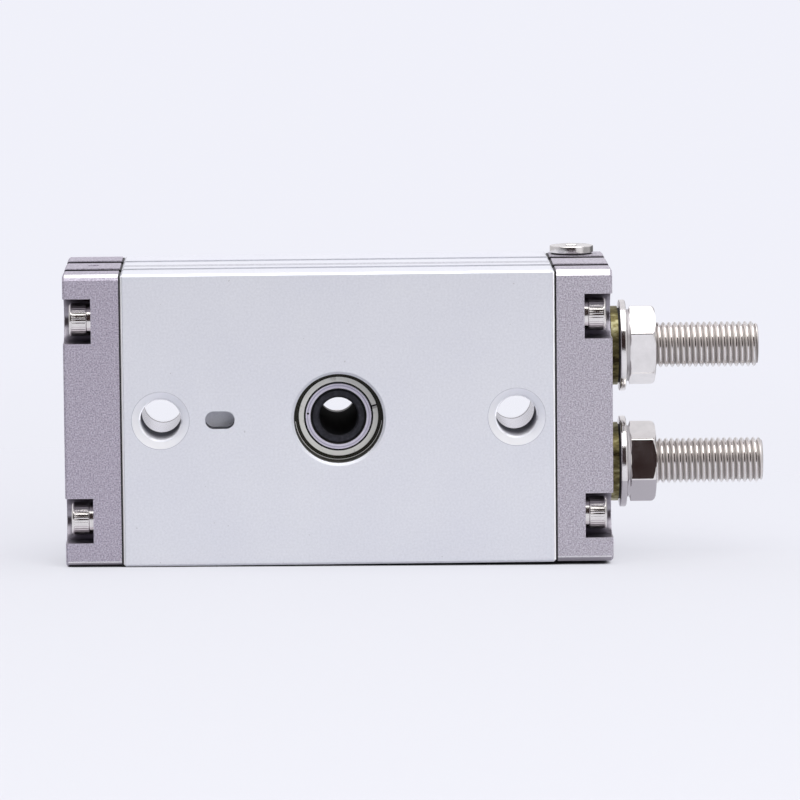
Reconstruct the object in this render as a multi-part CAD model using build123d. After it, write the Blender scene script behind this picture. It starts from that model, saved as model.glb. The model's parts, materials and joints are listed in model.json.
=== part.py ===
from build123d import *
from math import acos, cos, pi, radians, sin, sqrt, tan
import os

# Rack-and-pinion rotary table actuator, in millimetres.
# X runs along the housing, Y from the mounting face to the table, Z up.
# The origin is on the shaft axis in the plane of the mounting face.

# Housing
overall_length = 92.4
housing_height = 49.5
cover_thickness = 9.4
gasket_thickness = 0.3
gasket_inset = 0.25
body_chamfer = 0.4
cover_chamfer = 0.95
cover_end_chamfer = 0.35

# Clearances
cut_margin = 1.0
fixed_gap = 0.01
running_gap = 0.05
thread_gap = 0.05
stop_gap = 0.05

# Rack and pinion
module = 0.75
pinion_teeth = 15
pressure_angle = radians(20)
rack_addendum = 0.8 * module
pinion_addendum = module
root_clearance = 0.2 * module
backlash = 0.08
flank_steps = 4
total_rotation_degrees = 190.0
lower_setting_degrees = 98.8

# Cylinders and rack pistons
bore_radius = 7.5
cylinder_spacing = 24.0
cylinder_depth = 18.0
piston_gap = 0.10
piston_half_length = 25.0
toothed_length = 30.4
tooth_face_width = 11.0
wear_ring_offset = 23.2
wear_ring_width = 1.6
seal_offset = 20.4
seal_width = 1.6
magnet_offset = 17.4
magnet_width = 2.0
seal_groove_radius = 5.9
wear_groove_radius = 6.6
magnet_groove_radius = 5.4

# Stepped bore for the shaft, measured from the mounting face
locating_bore_radius = 7.5
locating_bore_depth = 3.7
front_bearing_width = 4.5
front_bearing_radius = 7.0
front_bearing_bore = 4.5
front_shoulder_radius = 6.0
front_shoulder_depth = 9.4
chamber_radius = 6.9
chamber_wall = 0.8
rear_shoulder_radius = 11.0
rear_shoulder_length = 1.7
rear_bearing_width = 5.0
retainer_seat_depth = 1.0
rear_bearing_radius = 13.0
rear_bearing_bore = 8.5
bore_edge_chamfer = 0.5

# Pinion shaft
hollow_radius = 3.2
hollow_mouth_chamfer = 0.3
shaft_front = 3.75
shaft_front_chamfer = 0.15
collar_radius = 5.3
shaft_flange_radius = 9.3
shaft_flange_thickness = 1.4
shaft_end_height = 3.5

# Bearing retainer and rotary table
retainer_radius = 23.0
retainer_height = 5.5
retainer_hole_radius = 11.25
retainer_pilot_radius = 22.4
spigot_relief = 0.3
retainer_screw_length = 9.0
retainer_screw_reach = 5.5
retainer_screw_angle = 45.0
retainer_socket = 2.0
retainer_socket_depth = 1.2
table_gap = 0.5
table_radius = 22.5
table_thickness = 8.0
table_recess_radius = 10.0
table_recess_depth = 6.0
screw_well_radius = 9.3
table_hub_radius = 10.8
table_nose_radius = 9.7
table_nose_height = 1.5
table_hole_circle = 16.0
table_hole_count = 8
table_hole_angle = 22.5
table_pin_hole_circle = 15.0
table_pin_hole_radius = 1.5
table_pin_hole_depth = 3.5
table_screw_circle = 6.0
table_screw_length = 9.0
table_screw_head_height = 2.0
table_screw_reach = 8.0
table_pin_radius = 1.0
table_pin_angle = 45.0
table_pin_depth = 3.5
table_pin_hole_floor = 4.0
table_edge_chamfer = 0.5

# Mounting holes, slot and ports
mount_hole_spacing = 60.0
mount_through_radius = 3.4
mount_thread_radius = 3.65
mount_thread_depth = 12.0
mount_mouth_radius = 4.8
mount_counterbore_radius = 5.5
mount_counterbore_depth = 6.5
slot_centre = -20.0
slot_length = 5.0
slot_width = 3.0
slot_depth = 3.5
port_thread_radius = 2.25
port_inset = 5.5
port_setback = 4.5
end_port_height = 17.0
end_port_length = 7.0
passage_radius = 1.0
passage_height = 22.0
upper_passage_setback = 1.0
lower_passage_setback = 4.0
cross_drilling_inset = 4.8
passage_ball_recess = 0.2
feed_groove_width = 2.0
feed_groove_depth = 1.0
feed_groove_rise = 2.5
feed_groove_reach = 6.0
feed_groove_overlap = 1.5

# Sensor slots in the long sides
front_slot_setback = 8.5
rear_slot_setback = 5.5
body_slot_radius = 2.0
body_slot_mouth = 2.6
body_slot_centre = 2.45
cover_slot_width = 4.2
cover_slot_height = 3.6

# Cover screws, M3
screw_radius = 1.5
screw_head_radius = 2.75
screw_head_height = 3.0
screw_length = 12.0
screw_socket = 2.5
screw_hole_radius = 1.7
spring_washer_thickness = 0.7
spring_washer_slit = 0.5
spring_washer_slit_angle = 136.0
spring_washer_bore_gap = 0.1
spring_washer_rim_gap = 0.05
pocket_width = 7.57
pocket_floor_offset = 4.7
front_screw_height = 16.9
front_screw_depth = 4.0
rear_screw_height = 9.0
rear_screw_setback = 4.5
rear_counterbore_radius = 3.1

# Adjusting bolts, M8 x 1
bolt_radius = 4.0
bolt_spacing = 20.0
bolt_length = 37.4
bolt_socket = 4.0
bolt_socket_depth = 4.0
bolt_chamfer = 0.7
pad_radius = 2.4
pad_length = 2.5
pad_proud = 0.5
nut_across_flats = 12.0
nut_flange_radius = 7.8
nut_flange_thickness = 1.0
nut_cone_height = 0.6
nut_height = 6.2
upper_nut_turn = 37.6
lower_nut_turn = 20.7
seal_washer_radius = 6.75
seal_washer_thickness = 1.25
seal_ring_radius = 5.5
seal_ring_thickness = 1.95
seal_lip_radius = 6.4
seal_lip_thickness = 0.4

# Port plugs, M5
plug_head_radius = 3.75
plug_head_height = 1.2
plug_length = 4.0
plug_socket = 2.5
plug_socket_depth = 2.2
plug_gasket_thickness = 0.3
plug_gasket_radius = 3.5

# Bearing internals
front_ball_radius = 0.65
front_ball_circle = 5.925
front_ring_gap = 0.75
front_ball_count = 12
rear_ball_radius = 1.25
rear_ball_circle = 10.75
rear_ring_gap = 1.6
rear_ball_count = 12
race_gap = 0.03
front_ring_land = 0.3
front_ring_edge = 0.28
shield_recess = 0.2
shield_thickness = 0.2
shield_gap = 0.1
snap_ring_thickness = 0.3
snap_ring_slit = 0.7
snap_ring_slit_angle = 15.0
cage_wall = 0.8
cage_back = 0.5
cage_front = 1.9

# Sizes that follow from those above
half_length = overall_length / 2
half_height = housing_height / 2
cover_inner = half_length - cover_thickness
body_half = cover_inner - gasket_thickness
piston_height = cylinder_spacing / 2
piston_radius = bore_radius - piston_gap
seal_radius = bore_radius - running_gap
bolt_height = bolt_spacing / 2
pitch_radius = module * pinion_teeth / 2
tooth_pitch = pi * module
upper_setting_degrees = total_rotation_degrees - lower_setting_degrees
front_bearing_end = locating_bore_depth + front_bearing_width
rear_shoulder_start = cylinder_depth + bore_radius + chamber_wall
rear_bearing_start = rear_shoulder_start + rear_shoulder_length
rear_bearing_end = rear_bearing_start + rear_bearing_width
housing_thickness = rear_bearing_end + retainer_seat_depth
shaft_end = rear_bearing_end + shaft_end_height
retainer_screw_circle = (rear_bearing_radius + retainer_radius) / 2
front_ball_depth = locating_bore_depth + front_bearing_width / 2
rear_ball_depth = rear_bearing_start + rear_bearing_width / 2
retainer_top = rear_bearing_end + retainer_height
table_underside = retainer_top + table_gap
table_top = table_underside + table_thickness
tooth_start = cylinder_depth - tooth_face_width / 2
tooth_end = cylinder_depth + tooth_face_width / 2
port_offset = half_length - port_inset
port_depth = housing_thickness - port_setback
cross_drilling_offset = half_length - cross_drilling_inset
upper_passage_depth = cylinder_depth - upper_passage_setback
lower_passage_depth = cylinder_depth - lower_passage_setback
sensor_slot_depths = (cylinder_depth - front_slot_setback, cylinder_depth + rear_slot_setback)
rear_screw_depth = housing_thickness - rear_screw_setback


def rod_y(radius, start, end, x=0.0, z=0.0):
    """Cylinder along Y."""
    return Pos(x, (start + end) / 2, z) * Rot(90, 0, 0) * Cylinder(radius, end - start)


def rod_x(radius, start, end, y, z):
    """Cylinder along X."""
    return Pos((start + end) / 2, y, z) * Rot(0, 90, 0) * Cylinder(radius, abs(end - start))


def rod_z(radius, start, end, x, y):
    """Cylinder along Z."""
    return Pos(x, y, (start + end) / 2) * Cylinder(radius, abs(end - start))


def block(x_range, y_range, z_range):
    """Box between two limits on each axis."""
    sizes = [abs(high - low) for low, high in (x_range, y_range, z_range)]
    middle = [(high + low) / 2 for low, high in (x_range, y_range, z_range)]
    return Pos(*middle) * Box(*sizes)


def turned(points):
    """Solid of revolution about Y from (radius, y) points."""
    return revolve(make_face(Polyline(*points, close=True)), Axis.Y)


def turned_ring(inner, outer, start, end):
    """Plain ring about Y."""
    return turned([(inner, start), (outer, start), (outer, end), (inner, end)])


def along_x(solid, y, z, x=0.0):
    """Place a solid made about Y so that its +Y runs along +X."""
    return Pos(x, y, z) * Rot(0, 0, -90) * solid


def hex_prism(across_flats, start, end):
    """Hexagonal prism about Y."""
    outline = RegularPolygon(across_flats / 2, 6, major_radius=False)
    return extrude(Plane((0, start, 0), x_dir=(1, 0, 0), z_dir=(0, 1, 0)) * outline, end - start)


def on_circle(radius, count, first=0.0):
    """Places on a circle about Y as (x, z)."""
    angles = [radians(first + 360 * index / count) for index in range(count)]
    return [(radius * cos(angle), radius * sin(angle)) for angle in angles]


def body_slots():
    """Sensor slots of the body: round inside with a narrow mouth."""
    cutters = []
    end = body_half + cut_margin
    for side in (-1, 1):
        for depth in sensor_slot_depths:
            centre = side * (half_height - body_slot_centre)
            mouth = (depth - body_slot_mouth / 2, depth + body_slot_mouth / 2)
            cutters.append(rod_x(body_slot_radius, -end, end, depth, centre))
            cutters.append(block((-end, end), mouth, (centre, side * (half_height + cut_margin))))
    return cutters


def cover_slots(inner, outer):
    """Wider continuation of the sensor slots through a cover or gasket."""
    cutters = []
    radius = cover_slot_width / 2
    for side in (-1, 1):
        for depth in sensor_slot_depths:
            centre = side * (half_height - cover_slot_height + radius)
            mouth = (depth - radius, depth + radius)
            cutters.append(rod_x(radius, inner, outer, depth, centre))
            cutters.append(block((inner, outer), mouth, (centre, side * (half_height + cut_margin))))
    return cutters


def cover_screw_places():
    """Height and depth of the four screws of one cover."""
    front = [(sign * front_screw_height, front_screw_depth) for sign in (-1, 1)]
    rear = [(sign * rear_screw_height, rear_screw_depth) for sign in (-1, 1)]
    return front + rear


def mount_hole_cutter(x):
    """Mounting hole: threaded from the front, counterbored from the table side."""
    countersink = mount_mouth_radius - mount_thread_radius
    counterbore_start = housing_thickness - mount_counterbore_depth
    profile = [
        (0, -cut_margin),
        (mount_mouth_radius, -cut_margin),
        (mount_mouth_radius, 0),
        (mount_thread_radius, countersink),
        (mount_thread_radius, mount_thread_depth),
        (mount_through_radius, mount_thread_depth),
        (mount_through_radius, counterbore_start),
        (mount_counterbore_radius, counterbore_start),
        (mount_counterbore_radius, housing_thickness + cut_margin),
        (0, housing_thickness + cut_margin),
    ]
    return Pos(x, 0, 0) * turned(profile)


def shaft_bore_cutter():
    """Stepped bore for locating boss, bearings, pinion and retainer."""
    front_seat = front_bearing_radius + fixed_gap
    rear_seat = rear_bearing_radius + fixed_gap
    retainer_seat = retainer_pilot_radius + fixed_gap
    profile = [
        (0, -cut_margin),
        (locating_bore_radius + bore_edge_chamfer, -cut_margin),
        (locating_bore_radius + bore_edge_chamfer, 0),
        (locating_bore_radius, bore_edge_chamfer),
        (locating_bore_radius, locating_bore_depth),
        (front_seat, locating_bore_depth),
        (front_seat, front_bearing_end),
        (front_shoulder_radius, front_bearing_end),
        (front_shoulder_radius, front_shoulder_depth),
        (chamber_radius, front_shoulder_depth),
        (chamber_radius, rear_shoulder_start),
        (rear_shoulder_radius, rear_shoulder_start),
        (rear_shoulder_radius, rear_bearing_start),
        (rear_seat, rear_bearing_start),
        (rear_seat, rear_bearing_end),
        (retainer_seat, rear_bearing_end),
        (retainer_seat, housing_thickness + cut_margin),
        (0, housing_thickness + cut_margin),
    ]
    return turned(profile)


def body():
    """Main housing block with cylinders, stepped shaft bore and slots."""
    solid = block((-body_half, body_half), (0, housing_thickness), (-half_height, half_height))
    solid = chamfer(solid.edges(), body_chamfer)
    end = body_half + cut_margin
    cutters = body_slots()
    cutters.append(shaft_bore_cutter())
    for side in (-1, 1):
        cutters.append(rod_x(bore_radius, -end, end, cylinder_depth, side * piston_height))
        cutters.append(mount_hole_cutter(side * mount_hole_spacing / 2))
        hole_start = side * (body_half - screw_length + screw_head_height)
        for height, depth in cover_screw_places():
            cutters.append(rod_x(screw_radius + thread_gap, hole_start, side * end, depth, height))
    for height, depth in ((passage_height, upper_passage_depth), (-passage_height, lower_passage_depth)):
        cutters.append(rod_x(passage_radius, -end, end, depth, height))
    screw_reach = rear_bearing_end - retainer_screw_reach
    for x, z in retainer_screw_places():
        cutters.append(rod_y(screw_radius + thread_gap, screw_reach, housing_thickness, x, z))
    slot = SlotOverall(slot_length, slot_width)
    slot_plane = Plane((slot_centre, 0, 0), x_dir=(1, 0, 0), z_dir=(0, 1, 0))
    cutters.append(extrude(slot_plane * slot, slot_depth))
    return solid - cutters


def cover_blank(side):
    """Cover block with its chamfers, slots and screw pockets."""
    solid = block((cover_inner, half_length), (0, housing_thickness), (-half_height, half_height))
    solid = chamfer(solid.edges().filter_by(Axis.X), cover_chamfer)
    solid = chamfer(solid.faces().sort_by(Axis.X)[-1].edges(), cover_end_chamfer)
    floor = half_length - pocket_floor_offset
    inside = cover_inner - cut_margin
    outside = half_length + cut_margin
    cutters = cover_slots(inside, outside)
    half_pocket = pocket_width / 2
    for height, depth in cover_screw_places():
        cutters.append(rod_x(screw_hole_radius, inside, outside, depth, height))
    for sign in (-1, 1):
        height = sign * front_screw_height
        pocket_sides = (height - half_pocket, height + half_pocket)
        cutters.append(rod_x(half_pocket, floor, outside, front_screw_depth, height))
        cutters.append(block((floor, outside), (-cut_margin, front_screw_depth), pocket_sides))
        height = sign * rear_screw_height
        cutters.append(rod_x(rear_counterbore_radius, floor, outside, rear_screw_depth, height))
    solid = solid - cutters
    return solid if side > 0 else mirror(solid, about=Plane.YZ)


def feed_groove(first, second):
    """Groove on the right cover's inner face between two (height, depth) points."""
    length = sqrt((first[0] - second[0]) ** 2 + (first[1] - second[1]) ** 2)
    plane = Plane((cover_inner, (first[1] + second[1]) / 2, (first[0] + second[0]) / 2),
                  x_dir=(0, second[1] - first[1], second[0] - first[0]), z_dir=(1, 0, 0))
    return extrude(plane * SlotOverall(length + feed_groove_width, feed_groove_width), feed_groove_depth)


def end_cover_right():
    """Cover with the adjusting bolts, the air ports and their feeds."""
    inside = cover_inner - cut_margin
    outside = half_length + cut_margin
    port_end = half_length - end_port_length
    cutters = []
    for side, passage_depth in ((1, upper_passage_depth), (-1, lower_passage_depth)):
        height = side * end_port_height
        cutters.append(rod_x(bolt_radius + thread_gap, inside, outside, cylinder_depth, side * bolt_height))
        cutters.append(rod_x(port_thread_radius, port_end, outside, port_depth, height))
        surface = side * (half_height + cut_margin)
        cutters.append(rod_z(port_thread_radius, height, surface, port_offset, port_depth))
        cutters.append(rod_x(passage_radius, inside, port_end, port_depth, height))
        toward_bore = (side * (piston_height + feed_groove_rise), cylinder_depth + feed_groove_reach)
        cutters.append(feed_groove((height, port_depth), toward_bore))
        beside_bore = (side * (piston_height + bore_radius - feed_groove_overlap), passage_depth)
        cutters.append(feed_groove((side * passage_height, passage_depth), beside_bore))
    return cover_blank(1) - cutters


def end_cover_left():
    """Cover with the two crossed drillings that feed the far ends of the cylinders."""
    cutters = []
    for side, depth in ((1, upper_passage_depth), (-1, lower_passage_depth)):
        far = -side * piston_height
        top = side * (half_height + cut_margin)
        cutters.append(rod_z(passage_radius, far, top, -cross_drilling_offset, depth))
        for height in (side * passage_height, far):
            inside = cut_margin - cover_inner
            cutters.append(rod_x(passage_radius, -cross_drilling_offset, inside, depth, height))
    return cover_blank(-1) - cutters


def gasket(side):
    """Thin gasket between the body and a cover."""
    inner = side * body_half
    outer = side * cover_inner
    solid = block((inner, outer), (gasket_inset, housing_thickness - gasket_inset),
                  (-half_height + gasket_inset, half_height - gasket_inset))
    start = min(inner, outer) - cut_margin
    end = max(inner, outer) + cut_margin
    cutters = cover_slots(start, end)
    for height, depth in cover_screw_places():
        cutters.append(rod_x(screw_hole_radius, start, end, depth, height))
    for sign in (-1, 1):
        cutters.append(rod_x(bore_radius, start, end, cylinder_depth, sign * piston_height))
    for height, depth in ((passage_height, upper_passage_depth), (-passage_height, lower_passage_depth)):
        cutters.append(rod_x(passage_radius, start, end, depth, height))
    return solid - cutters


def passage_balls():
    """Steel balls that close the crossed drillings of the left cover."""
    centre = half_height - passage_radius - passage_ball_recess
    radius = passage_radius - fixed_gap
    upper = Pos(-cross_drilling_offset, upper_passage_depth, centre) * Sphere(radius)
    lower = Pos(-cross_drilling_offset, lower_passage_depth, -centre) * Sphere(radius)
    return [upper, lower]


def cap_screw(radius, length, head_radius, head_height, socket):
    """Socket head cap screw about Y; the underside of the head is at Y = 0."""
    edge = head_height * 0.1
    profile = [
        (0, -length),
        (radius - edge, -length),
        (radius, -length + edge),
        (radius, 0),
        (head_radius, 0),
        (head_radius, head_height - edge),
        (head_radius - edge, head_height),
        (0, head_height),
    ]
    return turned(profile) - hex_prism(socket, head_height / 2, head_height + cut_margin)


def cover_screws(side):
    """Four cap screws of one cover."""
    seat = half_length - pocket_floor_offset + spring_washer_thickness
    screw = cap_screw(screw_radius, screw_length, screw_head_radius, screw_head_height, screw_socket)
    placed = [along_x(screw, depth, height, seat) for height, depth in cover_screw_places()]
    return placed if side > 0 else [mirror(solid, about=Plane.YZ) for solid in placed]


def spring_washers(side):
    """Split spring washers, drawn flat as when tightened."""
    inner = screw_radius + spring_washer_bore_gap
    outer = screw_head_radius - spring_washer_rim_gap
    ring = turned_ring(inner, outer, 0, spring_washer_thickness)
    half_slit = spring_washer_slit / 2
    slit = block((-half_slit, half_slit), (-cut_margin, spring_washer_thickness + cut_margin),
                 (0, outer + cut_margin))
    ring = ring - Rot(0, spring_washer_slit_angle, 0) * slit
    seat = half_length - pocket_floor_offset
    placed = [along_x(ring, depth, height, seat) for height, depth in cover_screw_places()]
    return placed if side > 0 else [mirror(solid, about=Plane.YZ) for solid in placed]


def pad_face(setting_degrees):
    """Place along X of a cushion pad's face: it stops its rack at the set angle."""
    return piston_half_length + pitch_radius * radians(setting_degrees) + stop_gap


def adjusting_bolt(side, setting_degrees):
    """Adjusting bolt with a socket outside and a pocket for the cushion pad inside."""
    start = pad_face(setting_degrees) + pad_proud
    end = start + bolt_length
    pocket = pad_length - pad_proud
    profile = [
        (pad_radius, 0),
        (bolt_radius - bolt_chamfer, 0),
        (bolt_radius, bolt_chamfer),
        (bolt_radius, bolt_length - bolt_chamfer),
        (bolt_radius - bolt_chamfer, bolt_length),
        (0, bolt_length),
        (0, pocket),
        (pad_radius, pocket),
    ]
    solid = turned(profile) - hex_prism(bolt_socket, bolt_length - bolt_socket_depth, end)
    return along_x(solid, cylinder_depth, side * bolt_height, start)


def cushion_pad(side, setting_degrees):
    """Rubber pad that stands out of the bolt's inner end."""
    start = pad_face(setting_degrees)
    return rod_x(pad_radius, start, start + pad_length, cylinder_depth, side * bolt_height)


def seal_ring(side):
    """Rubber of the bonded seal under a lock nut, with a lip on each side of its steel ring."""
    inner = bolt_radius + fixed_gap
    steel_end = seal_lip_thickness + seal_washer_thickness
    ring = turned([
        (inner, 0),
        (seal_lip_radius, 0),
        (seal_lip_radius, seal_lip_thickness),
        (seal_ring_radius, seal_lip_thickness),
        (seal_ring_radius, steel_end),
        (seal_lip_radius, steel_end),
        (seal_lip_radius, seal_ring_thickness),
        (inner, seal_ring_thickness),
    ])
    return along_x(ring, cylinder_depth, side * bolt_height, half_length)


def seal_washer(side):
    """Plated steel ring of the bonded seal."""
    end = seal_lip_thickness + seal_washer_thickness
    ring = turned_ring(seal_ring_radius, seal_washer_radius, seal_lip_thickness, end)
    return along_x(ring, cylinder_depth, side * bolt_height, half_length)


def lock_nut(side, turn_degrees):
    """Hexagon nut with a flange."""
    corner_radius = nut_across_flats / 2 / cos(pi / 6)
    cone_top = nut_flange_thickness + nut_cone_height
    edge = corner_radius - nut_across_flats / 2
    crown = turned([
        (0, 0),
        (corner_radius, 0),
        (corner_radius, nut_height - edge * 0.6),
        (nut_across_flats / 2, nut_height),
        (0, nut_height),
    ])
    flange = turned([
        (0, 0),
        (nut_flange_radius, 0),
        (nut_flange_radius, nut_flange_thickness),
        (nut_across_flats / 2, cone_top),
        (0, cone_top),
    ])
    solid = hex_prism(nut_across_flats, 0, nut_height) & crown
    solid = solid + flange - rod_y(bolt_radius + thread_gap, -cut_margin, nut_height + cut_margin)
    seat = half_length + seal_ring_thickness
    return along_x(Rot(0, turn_degrees, 0) * solid, cylinder_depth, side * bolt_height, seat)


def port_plug(side):
    """Round headed plug in a side port."""
    edge = plug_head_height * 0.15
    profile = [
        (0, -plug_length),
        (port_thread_radius - thread_gap, -plug_length),
        (port_thread_radius - thread_gap, 0),
        (plug_head_radius, 0),
        (plug_head_radius, plug_head_height - edge),
        (plug_head_radius - edge, plug_head_height),
        (0, plug_head_height),
    ]
    socket_floor = plug_head_height - plug_socket_depth
    solid = turned(profile) - hex_prism(plug_socket, socket_floor, plug_head_height + cut_margin)
    seat = half_height + plug_gasket_thickness
    return Pos(port_offset, port_depth, side * seat) * Rot(side * 90, 0, 0) * solid


def plug_gaskets():
    """Thin seals under the heads of the two plugs."""
    rings = []
    for side in (-1, 1):
        ring = turned_ring(port_thread_radius + thread_gap, plug_gasket_radius, 0, plug_gasket_thickness)
        rings.append(Pos(port_offset, port_depth, side * half_height) * Rot(side * 90, 0, 0) * ring)
    return rings


def involute(angle):
    """Involute function."""
    return tan(angle) - angle


def pinion_outline():
    """Outline of the toothed section in the XZ plane, one tooth pointing up."""
    base_radius = pitch_radius * cos(pressure_angle)
    tip_radius = pitch_radius + pinion_addendum
    root_radius = pitch_radius - rack_addendum - root_clearance
    half_at_pitch = pi / (2 * pinion_teeth) - backlash / (4 * pitch_radius)
    flank = [(root_radius, half_at_pitch + involute(pressure_angle))]
    for step in range(flank_steps + 1):
        radius = base_radius + (tip_radius - base_radius) * step / flank_steps
        roll = acos(base_radius / radius)
        flank.append((radius, half_at_pitch + involute(pressure_angle) - involute(roll)))
    points = []
    for tooth in range(pinion_teeth):
        centre = 2 * pi * tooth / pinion_teeth
        rising = [(radius, centre - half) for radius, half in flank]
        falling = [(radius, centre + half) for radius, half in reversed(flank)]
        points += [(radius * sin(angle), radius * cos(angle)) for radius, angle in rising + falling]
    return points


def pinion_shaft():
    """Hollow shaft with the pinion teeth and both bearing journals."""
    journal = rear_bearing_bore - fixed_gap
    front_journal = front_bearing_bore - fixed_gap
    root_radius = pitch_radius - rack_addendum - root_clearance
    flange_start = rear_bearing_start - shaft_flange_thickness
    profile = [
        (hollow_radius, shaft_front + hollow_mouth_chamfer),
        (hollow_radius + hollow_mouth_chamfer, shaft_front),
        (front_journal - shaft_front_chamfer, shaft_front),
        (front_journal, shaft_front + shaft_front_chamfer),
        (front_journal, front_bearing_end),
        (collar_radius, front_bearing_end),
        (collar_radius, tooth_start),
        (root_radius, tooth_start),
        (root_radius, tooth_end),
        (collar_radius, tooth_end),
        (collar_radius, flange_start),
        (shaft_flange_radius, flange_start),
        (shaft_flange_radius, rear_bearing_start),
        (journal, rear_bearing_start),
        (journal, shaft_end),
        (hollow_radius, shaft_end),
    ]
    plane = Plane((0, tooth_end, 0), x_dir=(1, 0, 0), z_dir=(0, -1, 0))
    teeth = extrude(plane * make_face(Polyline(*pinion_outline(), close=True)), tooth_face_width)
    teeth = teeth - rod_y(hollow_radius, tooth_start - cut_margin, tooth_end + cut_margin)
    top = shaft_end + cut_margin
    cutters = [rod_y(table_pin_radius, shaft_end - table_pin_hole_floor, top, *table_pin_place())]
    for x, z in on_circle(table_screw_circle, 4):
        cutters.append(rod_y(screw_radius + thread_gap, shaft_end - table_screw_reach, top, x, z))
    return turned(profile) + teeth - cutters


def table_pin_place():
    """Place of the parallel pin, between two table screws."""
    return on_circle(table_screw_circle, 1, table_pin_angle)[0]


def rack_outline(phase):
    """Region cut from the bar: everything inside the tooth tips and the tooth spaces."""
    tip = pitch_radius - rack_addendum
    root = pitch_radius + pinion_addendum + root_clearance
    half_space = tooth_pitch / 4 + backlash / 4
    half_tip = half_space + rack_addendum * tan(pressure_angle)
    half_root = half_space - (root - pitch_radius) * tan(pressure_angle)
    zone = toothed_length / 2
    count = int(zone / tooth_pitch) + 1
    centres = [(index + phase) * tooth_pitch for index in range(-count, count + 1)]
    points = [(-zone, 0), (-zone, tip)]
    for centre in centres:
        if abs(centre) + half_tip < zone:
            points += [(centre - half_tip, tip), (centre - half_root, root)]
            points += [(centre + half_root, root), (centre + half_tip, tip)]
    return points + [(zone, tip), (zone, 0)]


def piston_ring_grooves():
    """Grooves as (offset, width, bottom radius, outer radius) for each kind of ring."""
    wear = (wear_ring_width, wear_groove_radius)
    seal = (seal_width, seal_groove_radius)
    grooves = [(sign * wear_ring_offset, *wear) for sign in (-1, 1)]
    grooves += [(sign * seal_offset, *seal) for sign in (-1, 1)]
    grooves.append((-magnet_offset, magnet_width, magnet_groove_radius))
    return grooves


def upper_piston_ring(offset, width, inner, outer):
    """Ring round the upper piston, centred on an offset along X."""
    ring = turned_ring(inner, outer, -width / 2, width / 2)
    return along_x(ring, cylinder_depth, piston_height, offset)


def to_side(solid, side):
    """The lower piston is the upper one turned half a turn about the shaft."""
    return solid if side > 0 else Rot(0, 180, 0) * solid


def rack_piston(side):
    """Round bar with rack teeth facing the pinion and grooves near both ends."""
    bar = rod_x(piston_radius, -piston_half_length, piston_half_length, cylinder_depth, piston_height)
    bar = chamfer(bar.edges().filter_by(GeomType.CIRCLE), bore_edge_chamfer)
    opposite_gap = pinion_teeth % 2 == 1 and side < 0
    outline = make_face(Polyline(*rack_outline(0.5 if opposite_gap else 0.0), close=True))
    plane = Plane((0, cylinder_depth + bore_radius, 0), x_dir=(1, 0, 0), z_dir=(0, -1, 0))
    cutters = [extrude(plane * outline, 2 * bore_radius)]
    for offset, width, bottom in piston_ring_grooves():
        cutters.append(upper_piston_ring(offset, width, bottom, bore_radius + cut_margin))
    return to_side(bar - cutters, side)


def piston_seals(side):
    """Two lip seals of one piston."""
    rings = [upper_piston_ring(sign * seal_offset, seal_width, seal_groove_radius, seal_radius)
             for sign in (-1, 1)]
    return [to_side(ring, side) for ring in rings]


def wear_rings(side):
    """Two guide rings of one piston."""
    rings = [upper_piston_ring(sign * wear_ring_offset, wear_ring_width, wear_groove_radius, seal_radius)
             for sign in (-1, 1)]
    return [to_side(ring, side) for ring in rings]


def piston_magnet(side):
    """Ring magnet that the sensors in the side slots feel."""
    outer = piston_radius - running_gap
    return to_side(upper_piston_ring(-magnet_offset, magnet_width, magnet_groove_radius, outer), side)


def race_torus(centre_y, pitch, ball_radius):
    """Cutter for the ball groove of a bearing ring."""
    return Pos(0, centre_y, 0) * Rot(90, 0, 0) * Torus(pitch, ball_radius + race_gap)


def front_bearing_outer():
    """Outer ring, stepped at the front for the shield and its snap ring."""
    inner = front_ball_circle + front_ring_gap / 2
    step = locating_bore_depth + shield_recess + snap_ring_thickness + shield_thickness
    land = front_bearing_radius - front_ring_land
    ring = turned([
        (land, locating_bore_depth),
        (front_bearing_radius, locating_bore_depth),
        (front_bearing_radius, front_bearing_end),
        (inner, front_bearing_end),
        (inner, step),
        (land, step),
    ])
    return ring - race_torus(front_ball_depth, front_ball_circle, front_ball_radius)


def front_bearing_inner():
    """Inner ring on the front journal."""
    outer = front_ball_circle - front_ring_gap / 2
    ring = turned([
        (front_bearing_bore, locating_bore_depth + front_ring_edge),
        (front_bearing_bore + front_ring_edge, locating_bore_depth),
        (outer, locating_bore_depth),
        (outer, front_bearing_end),
        (front_bearing_bore + front_ring_edge, front_bearing_end),
        (front_bearing_bore, front_bearing_end - front_ring_edge),
    ])
    return ring - race_torus(front_ball_depth, front_ball_circle, front_ball_radius)


def front_cover_ring(start, thickness):
    """Thin ring set in the step of the front bearing's outer ring."""
    inner = front_ball_circle - front_ring_gap / 2 + shield_gap
    return turned_ring(inner, front_bearing_radius - front_ring_land, start, start + thickness)


def front_bearing_shield():
    """Sheet shield in front of the balls."""
    start = locating_bore_depth + shield_recess + snap_ring_thickness
    return front_cover_ring(start, shield_thickness)


def front_bearing_snap_ring():
    """Flat open ring that keeps the shield in place."""
    start = locating_bore_depth + shield_recess
    half_slit = snap_ring_slit / 2
    slit = block((0, front_bearing_radius), (start - cut_margin, start + cut_margin), (-half_slit, half_slit))
    return front_cover_ring(start, snap_ring_thickness) - Rot(0, -snap_ring_slit_angle, 0) * slit


def balls(depth, circle, radius, count):
    """Ring of bearing balls."""
    return [Pos(x, depth, z) * Sphere(radius) for x, z in on_circle(circle, count)]


def rear_bearing_ring(inner, outer):
    """Ring of the table side bearing with its ball groove."""
    ring = turned_ring(inner, outer, rear_bearing_start, rear_bearing_end)
    return ring - race_torus(rear_ball_depth, rear_ball_circle, rear_ball_radius)


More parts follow.
